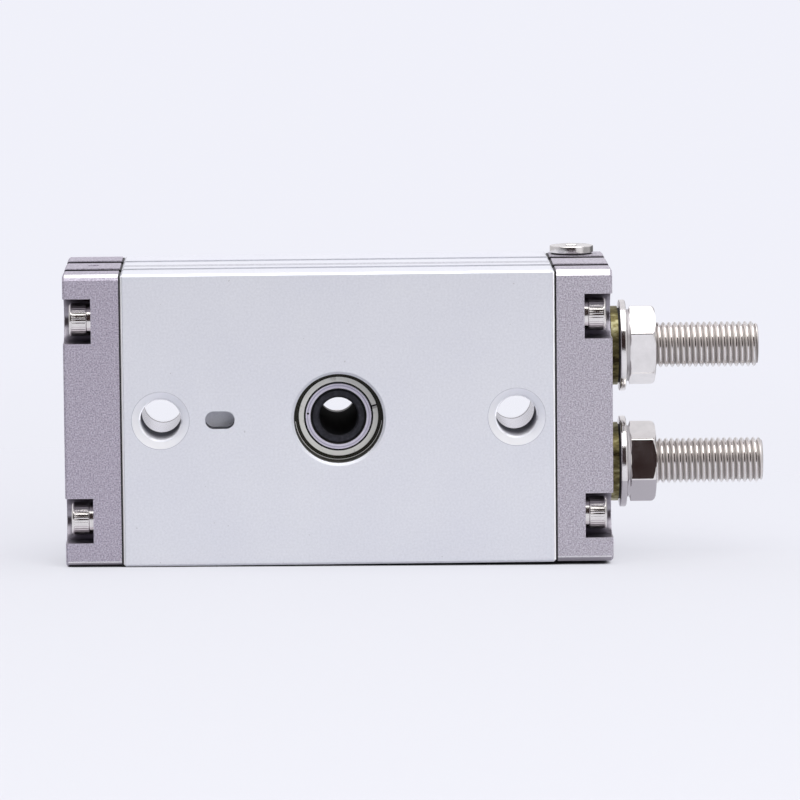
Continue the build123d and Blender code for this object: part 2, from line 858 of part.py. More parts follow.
def rear_bearing_cage():
    """Crown cage that keeps the balls apart."""
    inner = rear_ball_circle - cage_wall / 2
    outer = rear_ball_circle + cage_wall / 2
    ring = turned_ring(inner, outer, rear_ball_depth - cage_back, rear_ball_depth + cage_front)
    pocket = rod_x(rear_ball_radius + race_gap, inner - cut_margin, outer + cut_margin, rear_ball_depth, 0)
    turns = [360 * index / rear_ball_count for index in range(rear_ball_count)]
    return ring - [Rot(0, turn, 0) * pocket for turn in turns]


def retainer_screw(radius_gap=0.0):
    """Countersunk M3 screw about Y with its head flush at Y = 0."""
    radius = screw_radius + radius_gap
    head = screw_head_radius + radius_gap
    return turned([
        (0, -retainer_screw_length),
        (radius, -retainer_screw_length),
        (radius, radius - head),
        (head, 0),
        (0, 0),
    ])


def retainer_screw_places():
    """Places of the four retainer screws."""
    return on_circle(retainer_screw_circle, 4, retainer_screw_angle)


def bearing_retainer():
    """Spigot ring that clamps the table side bearing; its pilot sits in the housing."""
    spigot_start = housing_thickness + spigot_relief
    solid = turned([
        (retainer_hole_radius, rear_bearing_end),
        (retainer_pilot_radius, rear_bearing_end),
        (retainer_pilot_radius, spigot_start),
        (retainer_radius, spigot_start),
        (retainer_radius, retainer_top - bore_edge_chamfer),
        (retainer_radius - bore_edge_chamfer, retainer_top),
        (retainer_hole_radius, retainer_top),
    ])
    cutter = retainer_screw(thread_gap)
    return solid - [Pos(x, retainer_top, z) * cutter for x, z in retainer_screw_places()]


def retainer_screws():
    """Four countersunk screws of the retainer."""
    screw = retainer_screw() - hex_prism(retainer_socket, -retainer_socket_depth, cut_margin)
    return [Pos(x, retainer_top, z) * screw for x, z in retainer_screw_places()]


def rotary_table():
    """Table with its hub, centring recess, threaded holes and pin hole."""
    nose_end = rear_bearing_end + table_nose_height
    profile = [
        (rear_bearing_bore, rear_bearing_end),
        (table_nose_radius, rear_bearing_end),
        (table_nose_radius, nose_end),
        (table_hub_radius, nose_end),
        (table_hub_radius, table_underside),
        (table_radius - table_edge_chamfer, table_underside),
        (table_radius, table_underside + table_edge_chamfer),
        (table_radius, table_top - table_edge_chamfer),
        (table_radius - table_edge_chamfer, table_top),
        (table_recess_radius, table_top),
        (table_recess_radius, table_top - table_recess_depth),
        (screw_well_radius, table_top - table_recess_depth),
        (screw_well_radius, table_underside),
        (hollow_radius, table_underside),
        (hollow_radius, shaft_end),
        (rear_bearing_bore, shaft_end),
    ]
    web = (shaft_end - cut_margin, table_underside + cut_margin)
    cutters = [rod_y(table_pin_radius, *web, *table_pin_place())]
    for x, z in on_circle(table_screw_circle, 4):
        cutters.append(rod_y(screw_radius + thread_gap, *web, x, z))
    plate = (table_underside - cut_margin, table_top + cut_margin)
    for x, z in on_circle(table_hole_circle, table_hole_count, table_hole_angle):
        cutters.append(rod_y(port_thread_radius, *plate, x, z))
    pin_floor = table_top - table_pin_hole_depth
    cutters.append(rod_y(table_pin_hole_radius, pin_floor, plate[1], table_pin_hole_circle, 0))
    return turned(profile) - cutters


def table_screws():
    """Low head screws that hold the table on the shaft."""
    head = (screw_head_radius, table_screw_head_height, screw_socket)
    screw = cap_screw(screw_radius, table_screw_length, *head)
    return [Pos(x, table_underside, z) * screw for x, z in on_circle(table_screw_circle, 4)]


def table_pin():
    """Parallel pin that carries the torque between shaft and table."""
    start = shaft_end - table_pin_depth
    return rod_y(table_pin_radius - fixed_gap, start, table_underside, *table_pin_place())


upper_setting = (1, upper_setting_degrees)
lower_setting = (-1, lower_setting_degrees)
nodes = {
    "body": body(),
    "end_cover_left": end_cover_left(),
    "end_cover_right": end_cover_right(),
    "gasket_left": gasket(-1),
    "gasket_right": gasket(1),
    "cover_screws_left": cover_screws(-1),
    "cover_screws_right": cover_screws(1),
    "spring_washers_left": spring_washers(-1),
    "spring_washers_right": spring_washers(1),
    "adjusting_bolt_upper": adjusting_bolt(*upper_setting),
    "adjusting_bolt_lower": adjusting_bolt(*lower_setting),
    "cushion_pad_upper": cushion_pad(*upper_setting),
    "cushion_pad_lower": cushion_pad(*lower_setting),
    "lock_nut_upper": lock_nut(1, upper_nut_turn),
    "lock_nut_lower": lock_nut(-1, lower_nut_turn),
    "seal_washer_upper": seal_washer(1),
    "seal_washer_lower": seal_washer(-1),
    "seal_ring_upper": seal_ring(1),
    "seal_ring_lower": seal_ring(-1),
    "port_plug_top": port_plug(1),
    "port_plug_bottom": port_plug(-1),
    "plug_gaskets": plug_gaskets(),
    "passage_balls": passage_balls(),
    "front_bearing_outer": front_bearing_outer(),
    "front_bearing_inner": front_bearing_inner(),
    "front_bearing_shield": front_bearing_shield(),
    "front_bearing_snap_ring": front_bearing_snap_ring(),
    "front_bearing_balls": balls(front_ball_depth, front_ball_circle, front_ball_radius, front_ball_count),
    "rear_bearing_outer": rear_bearing_ring(rear_ball_circle + rear_ring_gap / 2, rear_bearing_radius),
    "rear_bearing_inner": rear_bearing_ring(rear_bearing_bore, rear_ball_circle - rear_ring_gap / 2),
    "rear_bearing_cage": rear_bearing_cage(),
    "rear_bearing_balls": balls(rear_ball_depth, rear_ball_circle, rear_ball_radius, rear_ball_count),
    "pinion_shaft": pinion_shaft(),
    "rack_piston_upper": rack_piston(1),
    "rack_piston_lower": rack_piston(-1),
    "piston_seals_upper": piston_seals(1),
    "piston_seals_lower": piston_seals(-1),
    "wear_rings_upper": wear_rings(1),
    "wear_rings_lower": wear_rings(-1),
    "piston_magnet_upper": piston_magnet(1),
    "piston_magnet_lower": piston_magnet(-1),
    "bearing_retainer": bearing_retainer(),
    "retainer_screws": retainer_screws(),
    "rotary_table": rotary_table(),
    "table_screws": table_screws(),
    "table_pin": table_pin(),
}

os.makedirs("parts", exist_ok=True)
for name, shape in nodes.items():
    solids = shape if isinstance(shape, list) else [shape]
    shape = Compound(children=[solid.solid() for solid in solids]) if len(solids) > 1 else solids[0].solid()
    export_step(shape, f"parts/{name}.step")
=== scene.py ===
import bmesh
import bpy
import json
from math import atan, atan2, cos, pi, radians, sin
from mathutils import Matrix, Vector


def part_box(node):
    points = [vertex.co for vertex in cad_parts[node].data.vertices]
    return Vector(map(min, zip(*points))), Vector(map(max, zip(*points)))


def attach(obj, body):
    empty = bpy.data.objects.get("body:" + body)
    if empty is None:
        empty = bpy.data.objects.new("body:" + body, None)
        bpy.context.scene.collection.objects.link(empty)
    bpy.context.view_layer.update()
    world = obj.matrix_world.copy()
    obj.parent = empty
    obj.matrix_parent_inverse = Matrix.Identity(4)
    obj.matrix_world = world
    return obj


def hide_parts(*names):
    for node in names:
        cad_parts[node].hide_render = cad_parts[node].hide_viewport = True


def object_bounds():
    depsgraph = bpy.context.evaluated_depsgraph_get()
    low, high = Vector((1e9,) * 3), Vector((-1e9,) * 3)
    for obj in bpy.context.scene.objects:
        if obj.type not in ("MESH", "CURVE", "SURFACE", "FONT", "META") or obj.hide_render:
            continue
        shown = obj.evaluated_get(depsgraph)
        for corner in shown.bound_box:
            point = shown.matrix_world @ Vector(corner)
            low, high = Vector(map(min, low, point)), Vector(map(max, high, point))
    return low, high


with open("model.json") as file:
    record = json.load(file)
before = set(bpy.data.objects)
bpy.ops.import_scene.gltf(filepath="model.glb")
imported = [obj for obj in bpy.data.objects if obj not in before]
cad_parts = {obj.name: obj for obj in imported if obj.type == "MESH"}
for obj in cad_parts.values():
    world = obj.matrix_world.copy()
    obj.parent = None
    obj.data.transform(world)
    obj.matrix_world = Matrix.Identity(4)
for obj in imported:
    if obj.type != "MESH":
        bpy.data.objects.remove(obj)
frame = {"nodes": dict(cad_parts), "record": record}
cad_box = [list(corner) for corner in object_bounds()]

# Sizes in millimetres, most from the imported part; every mesh below is made in metres
MM = 0.001

# Adjusting bolts, their threads and the pocket of the rubber pad
bolt_radius = 4.0
bolt_height = 10.0
bolt_chamfer = 0.7
bolt_socket = 4.0
bolt_socket_depth = 4.0
pad_pocket_radius = 2.4
pad_pocket_depth = 2.0
thread_pitch = 1.0
thread_crest = 3.88
thread_root = 3.25
thread_cover = 1.0
thread_core_gap = 0.02
thread_segments = 72
thread_shift_lower = 0.36
flank_radius = 3.72
root_radius = 3.38
socket_chamfer = 0.15

# Lock nuts
nut_flat = 6.0
nut_corner_radius = 0.35
nut_flange = 7.8
nut_flange_height = 1.1
nut_flange_under = 0.12
nut_flange_over = 0.3
nut_neck_radius = 6.12
nut_neck_end = 1.75
nut_neck_rise = 0.24
nut_crown_height = 1.2
nut_crown_drop = 1.5
nut_crown_power = 2.5
nut_crown_blend = 0.06
nut_crown_steps = 18
nut_neck_fillet = 0.5
nut_bore_gap = 0.04
nut_bore_chamfer = 0.5
nut_painted_shade_below = -12.5

# Cover screws
screw_head_radius = 2.75
screw_head_height = 3.0
screw_radius = 1.5
screw_length = 12.0
screw_chamfer = 0.3
screw_socket = 2.5
screw_socket_depth = 1.5
screw_socket_chamfer = 0.1
knurl_count = 36
knurl_depth = 0.05

# Port plugs
plug_rim = 0.2
plug_rim_steps = 5
plug_segments = 96
plug_socket = 2.5
plug_socket_depth = 2.2
plug_shank = 2.2
plug_shank_length = 4.0
plug_seat_edge = 0.06

# Mounting holes
mount_middle = 30.0
mount_sink_radius = 4.84
mount_sink_shade_width = 0.09
mount_sink_depths = (0.01, 1.4)
sink_light_slope_up = 80.0
sink_light_slope_right = 60.0
mount_bore_radius = 3.72
mount_bore_margin = 0.3
mount_bore_depths = (11.5, 34.1)
mount_far_edge_shade = (32.2, 34.1)
mount_far_shade_band = (25.6, 26.8)
mount_thread_pitch = 1.25
mount_thread_crest = 3.42
mount_thread_wall = 3.65
mount_thread_sink = 0.01
mount_thread_start = 1.2
mount_thread_end = 12.0
thread_highlight_depth = 3.0
thread_shade_depth = 10.5

# Housing face, locating slot and locating bore
skin = 0.02
body_half = 36.5
edge_highlight_width = 0.28
edge_highlight_depths = (0.005, 0.4)
body_top = 24.7
worn_band = (13.6, 17.0)
locating_slot = -20.0
locating_slot_half = 2.6
locating_slot_low = (-1.6, -0.6)
locating_slot_depths = (0.1, 3.4)
bore_shade_radius = 7.95
bore_shade_start = 0.45
gleam_ring = (7.26, 7.36)
gleam_top = -0.8

# End covers: chamfers, sensor slots and screw pockets
cover_chamfer = 0.97
cover_half_height = 24.75
left_highlight_start = 0.45
low_highlight_end = 0.24
low_shadow_start = 0.55
slot_middle = 16.5
slot_half_spacing = 7.0
slot_half_width = 2.2
slot_floor = 20.8
slot_shade_top = 24.57
pocket_floor = 41.45
pocket_outer = 46.1
pocket_height = 16.9
pocket_half_height = 3.85
pocket_depth = 7.95
pocket_skin = 0.12

# Shaft end and front bearing
hollow_radius = 3.25
ring_face_inner = 4.76
ring_face_outer = 5.6
ring_groove = (5.12, 5.3)
ring_dot = (-5.15, 0.5)
ring_dot_radius = 0.2
snap_ring_face_inner = 5.86
slit_angle = 16.0
slit_line = 0.13

# Edges sharper than this many degrees stay sharp
sharp_angle = 35.0
turned_sharp_angle = 40.0


def node_box(name):
    """A CAD node's lowest and highest corners in millimetres."""
    low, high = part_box(name)
    return Vector(low) / MM, Vector(high) / MM


def node_centre(name):
    low, high = node_box(name)
    return (low + high) / 2


def hexagon(apothem, angle):
    """Distance from the centre to a hexagon's side in one direction."""
    sector = (angle % (pi / 3)) - pi / 6
    return apothem / cos(sector)


def even_angles(segments):
    return [2 * pi * index / segments for index in range(segments)]


def add_object(name, data):
    new_object = bpy.data.objects.new(name, data)
    bpy.context.scene.collection.objects.link(new_object)
    return new_object


def spin_mesh(name, rows, angles, place, sharp=sharp_angle, extra=None):
    """Mesh of rings about a local axis. A row is (station, radius function of the angle)."""
    points = []
    for station, radius_at in rows:
        for angle in angles:
            radius = radius_at(angle)
            points.append(place @ Vector((radius * cos(angle), radius * sin(angle), station)) * MM)
    faces = []
    segments = len(angles)
    for row in range(len(rows) - 1):
        lower = row * segments
        upper = lower + segments
        for index in range(segments):
            after = (index + 1) % segments
            faces.append((lower + index, lower + after, upper + after, upper + index))
    mesh = bpy.data.meshes.new(name)
    mesh.from_pydata(points, [], faces)
    mesh.validate()
    piece = add_object(name, mesh)
    close_ends(piece)
    if extra is not None:
        add_surface(piece, *extra)
    shade(piece, sharp)
    return piece


def add_surface(piece, points, faces):
    """Adds an open surface to a piece and welds its own doubled points."""
    mesh = bpy.data.meshes.new("surface")
    mesh.from_pydata(points, [], faces)
    joined = bmesh.new()
    joined.from_mesh(mesh)
    bmesh.ops.remove_doubles(joined, verts=joined.verts, dist=1e-7)
    joined.from_mesh(piece.data)
    joined.to_mesh(piece.data)
    joined.free()
    bpy.data.meshes.remove(mesh)


# One turn of a thread as (share of the pitch, share of the height)
thread_profile = ((0.00, 0.0), (0.05, 0.0), (0.16, 0.33), (0.28, 0.67), (0.41, 1.0),
                  (0.59, 1.0), (0.71, 0.67), (0.83, 0.33), (0.95, 0.0))


def thread_surface(place, span, pitch, root, crest, limit, shift=0.0):
    """Points and faces of a right-hand thread, whose rows run along the helix."""
    start, end = span
    turns = int((end - start) / pitch) + 3
    per_turn = len(thread_profile)
    rows = turns * per_turn
    points = []
    for row in range(rows):
        share, height = thread_profile[row % per_turn]
        base = start + shift + (row // per_turn - 1 + share) * pitch
        for index in range(thread_segments):
            station = base + pitch * index / thread_segments
            radius = root + (crest - root) * height
            if station <= start:
                station, radius = start, root
            elif station >= end:
                station, radius = end, limit(end)
            radius = min(radius, limit(station))
            angle = 2 * pi * index / thread_segments
            points.append(place @ Vector((radius * cos(angle), radius * sin(angle), station)) * MM)
    faces = []
    for row in range(rows - per_turn - 1):
        for index in range(thread_segments):
            here = row * thread_segments + index
            after = here + 1 if index + 1 < thread_segments else (row + per_turn) * thread_segments
            faces.append((here, after, after + thread_segments, here + thread_segments))
    return points, faces


def close_ends(piece):
    """Welds points on the axis, fills what is open and turns the faces outwards."""
    mesh = bmesh.new()
    mesh.from_mesh(piece.data)
    bmesh.ops.remove_doubles(mesh, verts=mesh.verts, dist=1e-7)
    edges = [edge for edge in mesh.edges if edge.is_boundary]
    if edges:
        bmesh.ops.holes_fill(mesh, edges=edges)
    bmesh.ops.recalc_face_normals(mesh, faces=mesh.faces)
    mesh.to_mesh(piece.data)
    mesh.free()


def shade(piece, angle):
    """Smooth shading that keeps edges sharper than the angle."""
    piece.data.polygons.foreach_set("use_smooth", [True] * len(piece.data.polygons))
    piece.data.set_sharp_from_angle(angle=radians(angle))


def constant(radius):
    return lambda angle: radius


def socket_rows(top, flats, depth, chamfer=socket_chamfer):
    """Rows of a hexagon socket that opens at the top station."""
    apothem = flats / 2
    return [
        (top, lambda angle: hexagon(apothem, angle) + chamfer),
        (top - chamfer, lambda angle: hexagon(apothem, angle)),
        (top - depth, lambda angle: hexagon(apothem, angle)),
        (top - depth, constant(0.0)),
    ]


def axis_place(origin, direction, up=(0.0, 0.0, 1.0)):
    """Matrix that carries local Z to a direction and local X to an up direction."""
    along = Vector(direction).normalized()
    first = Vector(up).normalized()
    second = along.cross(first)
    matrix = Matrix((first, second, along)).transposed().to_4x4()
    return Matrix.Translation(Vector(origin)) @ matrix


# Materials

def make_material(name, colour, metallic, roughness):
    material = bpy.data.materials.new(name)
    material.use_nodes = True
    tree = material.node_tree
    shader = tree.nodes["Principled BSDF"]
    shader.inputs["Base Color"].default_value = (*colour, 1.0)
    shader.inputs["Metallic"].default_value = metallic
    shader.inputs["Roughness"].default_value = roughness
    return material, tree, shader


def object_noise(tree, scale, detail, roughness, stretch=(1.0, 1.0, 1.0)):
    """Noise in the object's own coordinates, with a scale per metre."""
    place = tree.nodes.new("ShaderNodeTexCoord")
    mapping = tree.nodes.new("ShaderNodeMapping")
    mapping.inputs["Scale"].default_value = stretch
    tree.links.new(place.outputs["Object"], mapping.inputs["Vector"])
    noise = tree.nodes.new("ShaderNodeTexNoise")
    noise.inputs["Scale"].default_value = scale
    noise.inputs["Detail"].default_value = detail
    noise.inputs["Roughness"].default_value = roughness
    tree.links.new(mapping.outputs["Vector"], noise.inputs["Vector"])
    return noise.outputs["Fac"]


def ramp(tree, value, stops):
    """Colour ramp with (place, colour) stops."""
    node = tree.nodes.new("ShaderNodeValToRGB")
    elements = node.color_ramp.elements
    while len(elements) < len(stops):
        elements.new(0.5)
    for element, (place, colour) in zip(elements, stops):
        element.position = place
        element.color = (*colour, 1.0)
    tree.links.new(value, node.inputs["Fac"])
    return node.outputs["Color"]


def grey(value):
    return (value, value, value)


def mix_colour(tree, factor, first, second, blend="MIX"):
    node = tree.nodes.new("ShaderNodeMix")
    node.data_type = "RGBA"
    node.blend_type = blend
    sockets = (node.inputs["Factor"], node.inputs[6], node.inputs[7])
    for socket, value in zip(sockets, (factor, first, second)):
        if isinstance(value, bpy.types.NodeSocket):
            tree.links.new(value, socket)
        elif isinstance(value, tuple):
            socket.default_value = (*value, 1.0)
        else:
            socket.default_value = value
    return node.outputs[2]


def bump(tree, shader, height, distance, strength):
    node = tree.nodes.new("ShaderNodeBump")
    node.inputs["Distance"].default_value = distance
    node.inputs["Strength"].default_value = strength
    tree.links.new(height, node.inputs["Height"])
    tree.links.new(node.outputs["Normal"], shader.inputs["Normal"])


def object_axes(tree):
    """X, Y and Z of the object's own coordinates, in metres."""
    place = tree.nodes.new("ShaderNodeTexCoord")
    parts = tree.nodes.new("ShaderNodeSeparateXYZ")
    tree.links.new(place.outputs["Object"], parts.inputs["Vector"])
    return parts.outputs


def math(tree, operation, first, second=None):
    """Math node whose inputs are sockets or numbers."""
    node = tree.nodes.new("ShaderNodeMath")
    node.operation = operation
    for socket, value in zip(node.inputs, (first, second)):
        if isinstance(value, bpy.types.NodeSocket):
            tree.links.new(value, socket)
        elif value is not None:
            socket.default_value = value
    return node.outputs["Value"]


def mix_shaders(tree, factor, first, second):
    node = tree.nodes.new("ShaderNodeMixShader")
    tree.links.new(factor, node.inputs["Fac"])
    tree.links.new(first, node.inputs[1])
    tree.links.new(second, node.inputs[2])
    return node.outputs["Shader"]


def finish_and_light_layer(tree, mask, colour, metallic, roughness):
    """Blends another plain surface over those before it where the mask is 1; it serves real
    finishes and painted light and shade.
    """
    surface = tree.nodes["Material Output"].inputs["Surface"]
    other = tree.nodes.new("ShaderNodeBsdfPrincipled")
    other.inputs["Base Color"].default_value = (*colour, 1.0)
    other.inputs["Metallic"].default_value = metallic
    other.inputs["Roughness"].default_value = roughness
    blended = mix_shaders(tree, mask, surface.links[0].from_socket, other.outputs["BSDF"])
    tree.links.new(blended, surface)
    return other


def both(tree, *masks):
    """1 where every mask is 1."""
    result = masks[0]
    for mask in masks[1:]:
        result = math(tree, "MULTIPLY", result, mask)
    return result


def more_than(tree, value, limit):
    """1 where a value in metres is over a limit in millimetres."""
    return math(tree, "GREATER_THAN", value, limit * MM)


def less_than(tree, value, limit):
    """1 where a value in metres is under a limit in millimetres."""
    return math(tree, "LESS_THAN", value, limit * MM)


def within(tree, value, low, high):
    """1 where a value in metres lies between two limits in millimetres."""
    return both(tree, more_than(tree, value, low), less_than(tree, value, high))


def offset_from(tree, value, middle):
    """Distance of a value in metres from a place in millimetres."""
    return math(tree, "ABSOLUTE", math(tree, "SUBTRACT", value, middle * MM))


def distance_about(tree, first, second):
    """Length of a pair of sockets taken as a vector."""
    return math(tree, "SQRT", math(tree, "ADD", math(tree, "MULTIPLY", first, first),
                                   math(tree, "MULTIPLY", second, second)))


def smooth_step(tree, value, low, high):
    node = tree.nodes.new("ShaderNodeMapRange")
    node.interpolation_type = "SMOOTHSTEP"
    node.inputs["From Min"].default_value = low
    node.inputs["From Max"].default_value = high
    tree.links.new(value, node.inputs["Value"])
    return node.outputs["Result"]


def anodised_aluminium():
    """Clear anodised block with fine grain and few specks; its holes have their own finishes and
    painted light and shade, and its end edges a painted highlight.
    """
    material, tree, shader = make_material("anodised_aluminium", (0.72, 0.73, 0.79), 0.5, 0.5)
    x, y, z = object_axes(tree)
    radius = distance_about(tree, x, z)
    across = math(tree, "ABSOLUTE", x)
    from_mount = distance_about(tree, math(tree, "SUBTRACT", across, mount_middle * MM), z)
    grain = object_noise(tree, 2600.0, 3.0, 0.6)
    block_colour(tree, shader, grain, from_mount, y, z)
    bump(tree, shader, grain, 0.00002, 0.35)
    locating_bore_painted_light(tree, radius, y, z)
    mounting_hole_finish_and_painted_light(tree, from_mount, x, y, z)
    # Painted highlight: a near-white strip on the front of both end edges.
    edge = both(tree, more_than(tree, across, body_half - edge_highlight_width),
                within(tree, y, *edge_highlight_depths))
    finish_and_light_layer(tree, edge, (0.97, 0.97, 1.0), 0.0, 0.6)
    # Painted shade: the locating slot's lower wall is coloured near black.
    painted_slot_shade = both(tree, less_than(tree, offset_from(tree, x, locating_slot), locating_slot_half),
                    within(tree, z, *locating_slot_low), within(tree, y, *locating_slot_depths))
    finish_and_light_layer(tree, painted_slot_shade, (0.07, 0.07, 0.08), 0.2, 0.6)
    return material


def block_colour(tree, shader, grain, from_mount, y, z):
    """Clouding, grain and specks, a thin ring of painted shade round each mounting hole, a worn
    band on the top.
    """
    cloud = object_noise(tree, 60.0, 4.0, 0.6)
    tint = ramp(tree, cloud, [(0.3, (0.70, 0.71, 0.775)), (0.7, (0.74, 0.75, 0.80))])
    fine = ramp(tree, grain, [(0.3, (0.57, 0.58, 0.625)), (0.7, (0.80, 0.81, 0.86))])
    grained = mix_colour(tree, 0.3, tint, fine)
    speck = object_noise(tree, 1300.0, 1.0, 0.4)
    marks = ramp(tree, speck, [(0.775, grey(0.0)), (0.80, grey(0.6))])
    coloured = mix_colour(tree, marks, grained, (0.45, 0.45, 0.48))
    # Painted shade: a thin darker ring on the face at each countersink's edge.
    sink_shade_ring = within(tree, from_mount, mount_sink_radius, mount_sink_radius + mount_sink_shade_width)
    rim = both(tree, sink_shade_ring, less_than(tree, y, skin))
    coloured = mix_colour(tree, rim, coloured, (0.50, 0.50, 0.56))
    band = both(tree, more_than(tree, z, body_top), within(tree, y, *worn_band))
    worn = both(tree, band, ramp(tree, grain, [(0.35, grey(0.15)), (0.6, grey(0.8))]))
    coloured = mix_colour(tree, worn, coloured, (0.36, 0.36, 0.41))
    tree.links.new(coloured, shader.inputs["Base Color"])


def locating_bore_painted_light(tree, radius, y, z):
    """Painted shade: the wall round the bearing is coloured near black, with one painted highlight
    line below it.
    """
    dark = (0.020, 0.019, 0.013)
    inside = both(tree, less_than(tree, radius, bore_shade_radius),
                  more_than(tree, y, bore_shade_start))
    wall = finish_and_light_layer(tree, inside, dark, 0.3, 0.45)
    # Painted highlight: a pale line low on the ring.
    gleam = both(tree, within(tree, radius, *gleam_ring), less_than(tree, z, gleam_top))
    tree.links.new(mix_colour(tree, gleam, dark, grey(0.62)), wall.inputs["Base Color"])


def mounting_hole_finish_and_painted_light(tree, from_mount, x, y, z):
    """Countersinks with painted light, lighter to the upper right, and smooth bores past the thread
    with bands of painted shade.
    """
    sink = both(tree, within(tree, from_mount, mount_bore_radius, mount_sink_radius),
                within(tree, y, *mount_sink_depths))
    cone = finish_and_light_layer(tree, sink, (0.8, 0.8, 0.85), 0.0, 0.8)
    # Painted light: the countersink's colour runs from dark at the lower left to light at the upper
    # right.
    middle = math(tree, "MULTIPLY", math(tree, "SIGN", x), mount_middle * MM)
    right = math(tree, "MULTIPLY", math(tree, "SUBTRACT", x, middle), sink_light_slope_right)
    slope = math(tree, "ADD", math(tree, "MULTIPLY", z, sink_light_slope_up), right)
    pale = ramp(tree, math(tree, "ADD", slope, 0.5),
                [(0.1, (0.56, 0.56, 0.58)), (0.9, (0.78, 0.79, 0.85))])
    tree.links.new(pale, cone.inputs["Base Color"])
    smooth = (0.75, 0.75, 0.83)
    wall = both(tree, less_than(tree, from_mount, mount_bore_radius + mount_bore_margin),
                within(tree, y, *mount_bore_depths))
    bore = finish_and_light_layer(tree, wall, smooth, 1.0, 0.22)
    # Painted shade: two dark bands deep in the bore, the last one at its far end.
    line = math(tree, "MAXIMUM", within(tree, y, *mount_far_edge_shade), within(tree, y, *mount_far_shade_band))
    tree.links.new(mix_colour(tree, line, smooth, (0.13, 0.13, 0.15)), bore.inputs["Base Color"])


def cast_cover():
    """Sand textured casting with a lavender grey sheen and milled screw pockets of bare metal, kept
    dark as painted shade; the sensor slots and chamfers carry painted light and shade.
    """
    material, tree, shader = make_material("cast_cover", (0.44, 0.41, 0.465), 0.35, 0.5)
    x, y, z = object_axes(tree)
    across = math(tree, "ABSOLUTE", x)
    rise = math(tree, "ABSOLUTE", z)
    sand = object_noise(tree, 3900.0, 2.0, 0.6)
    left = less_than(tree, x, 0.0)
    tint = mix_colour(tree, left, cast_colour(tree, sand), (0.905, 0.885, 0.93), "MULTIPLY")
    edge = less_than(tree, math(tree, "SUBTRACT", y, rise), cover_chamfer - cover_half_height)
    tint = cover_chamfer_painted_light(tree, tint, sand, left, edge, y, z)
    # Painted shade: the inside of the sensor slots is coloured near black, below a thin top strip
    # of the far wall.
    from_slot = offset_from(tree, offset_from(tree, y, slot_middle), slot_half_spacing)
    slot = both(tree, less_than(tree, from_slot, slot_half_width),
                within(tree, rise, slot_floor, slot_shade_top),
                less_than(tree, across, pocket_outer))
    tint = mix_colour(tree, slot, tint, (0.012, 0.010, 0.012))
    tree.links.new(tint, shader.inputs["Base Color"])
    bump(tree, shader, sand, 0.0001, 0.6)
    # Milled bare metal in the screw pockets, its colour darkened as painted shade.
    pocket = both(tree, within(tree, across, pocket_floor, pocket_outer),
                  less_than(tree, offset_from(tree, rise, pocket_height), pocket_half_height),
                  within(tree, y, pocket_skin, pocket_depth))
    finish_and_light_layer(tree, pocket, (0.36, 0.34, 0.38), 1.0, 0.28)
    return material


def cast_colour(tree, sand):
    grained = ramp(tree, sand, [(0.32, (0.205, 0.185, 0.225)), (0.68, (0.62, 0.59, 0.67))])
    broad = object_noise(tree, 900.0, 2.0, 0.5)
    clouded = ramp(tree, broad, [(0.3, (0.35, 0.325, 0.37)), (0.7, (0.45, 0.425, 0.475))])
    return mix_colour(tree, 0.25, grained, clouded)


def cover_chamfer_painted_light(tree, tint, sand, left, edge, y, z):
    """Painted light and shade: bright upper chamfer; the lower one has a painted highlight line,
    then painted shade, black at the left.
    """
    upper = more_than(tree, z, 0.0)
    lower = math(tree, "SUBTRACT", 1.0, upper)
    right = math(tree, "SUBTRACT", 1.0, left)
    wide = both(tree, upper,
                math(tree, "MAXIMUM", right, more_than(tree, y, left_highlight_start)))
    thin = both(tree, lower, less_than(tree, y, low_highlight_end))
    # Painted highlight on the upper chamfers and a thin line on the lower ones.
    bright = ramp(tree, sand, [(0.3, (0.62, 0.60, 0.64)), (0.5, (0.86, 0.84, 0.87))])
    tint = mix_colour(tree, both(tree, edge, math(tree, "ADD", wide, thin)), tint, bright)
    # Painted shade on the lower chamfer, black at the left.
    black = both(tree, left, more_than(tree, y, low_shadow_start))
    shaded = mix_colour(tree, black, (0.33, 0.305, 0.35), (0.012, 0.010, 0.014))
    below = both(tree, edge, lower, more_than(tree, y, low_highlight_end))
    return mix_colour(tree, below, tint, shaded)


def bright_metal(name, colour, roughness, streak, grain=900.0, relief=0.00001):
    """Plated metal with slight waviness and soft stains."""
    material, tree, shader = make_material(name, colour, 1.0, roughness)
    stain = object_noise(tree, 420.0, 4.0, 0.6)
    darker = tuple(channel * streak for channel in colour)
    tree.links.new(ramp(tree, stain, [(0.35, darker), (0.65, colour)]), shader.inputs["Base Color"])
    rough = ramp(tree, stain, [(0.3, grey(roughness * 0.8)), (0.7, grey(roughness * 1.35))])
    tree.links.new(rough, shader.inputs["Roughness"])
    wave = object_noise(tree, grain, 2.0, 0.5)
    bump(tree, shader, wave, relief, 0.3)
    return material


def polished_nickel(name):
    return bright_metal(name, (0.86, 0.835, 0.82), 0.15, 0.9, 2200.0, 0.00002)


def bolt_metal():
    """Polished crests; the flanks are duller, so they stay light, and the roots carry painted
    shade.
    """
    material = polished_nickel("bolt_nickel")
    tree = material.node_tree
    _, y, z = object_axes(tree)
    axis_depth = node_centre("adjusting_bolt_upper").y
    rise = math(tree, "SUBTRACT", math(tree, "ABSOLUTE", z), bolt_height * MM)
    radius = distance_about(tree, rise, math(tree, "SUBTRACT", y, axis_depth * MM))
    finish_and_light_layer(tree, less_than(tree, radius, flank_radius), (0.82, 0.785, 0.765), 0.9, 0.45)
    # Painted shade: the thread roots are coloured darker.
    finish_and_light_layer(tree, less_than(tree, radius, root_radius), (0.40, 0.37, 0.355), 0.9, 0.45)
    return material


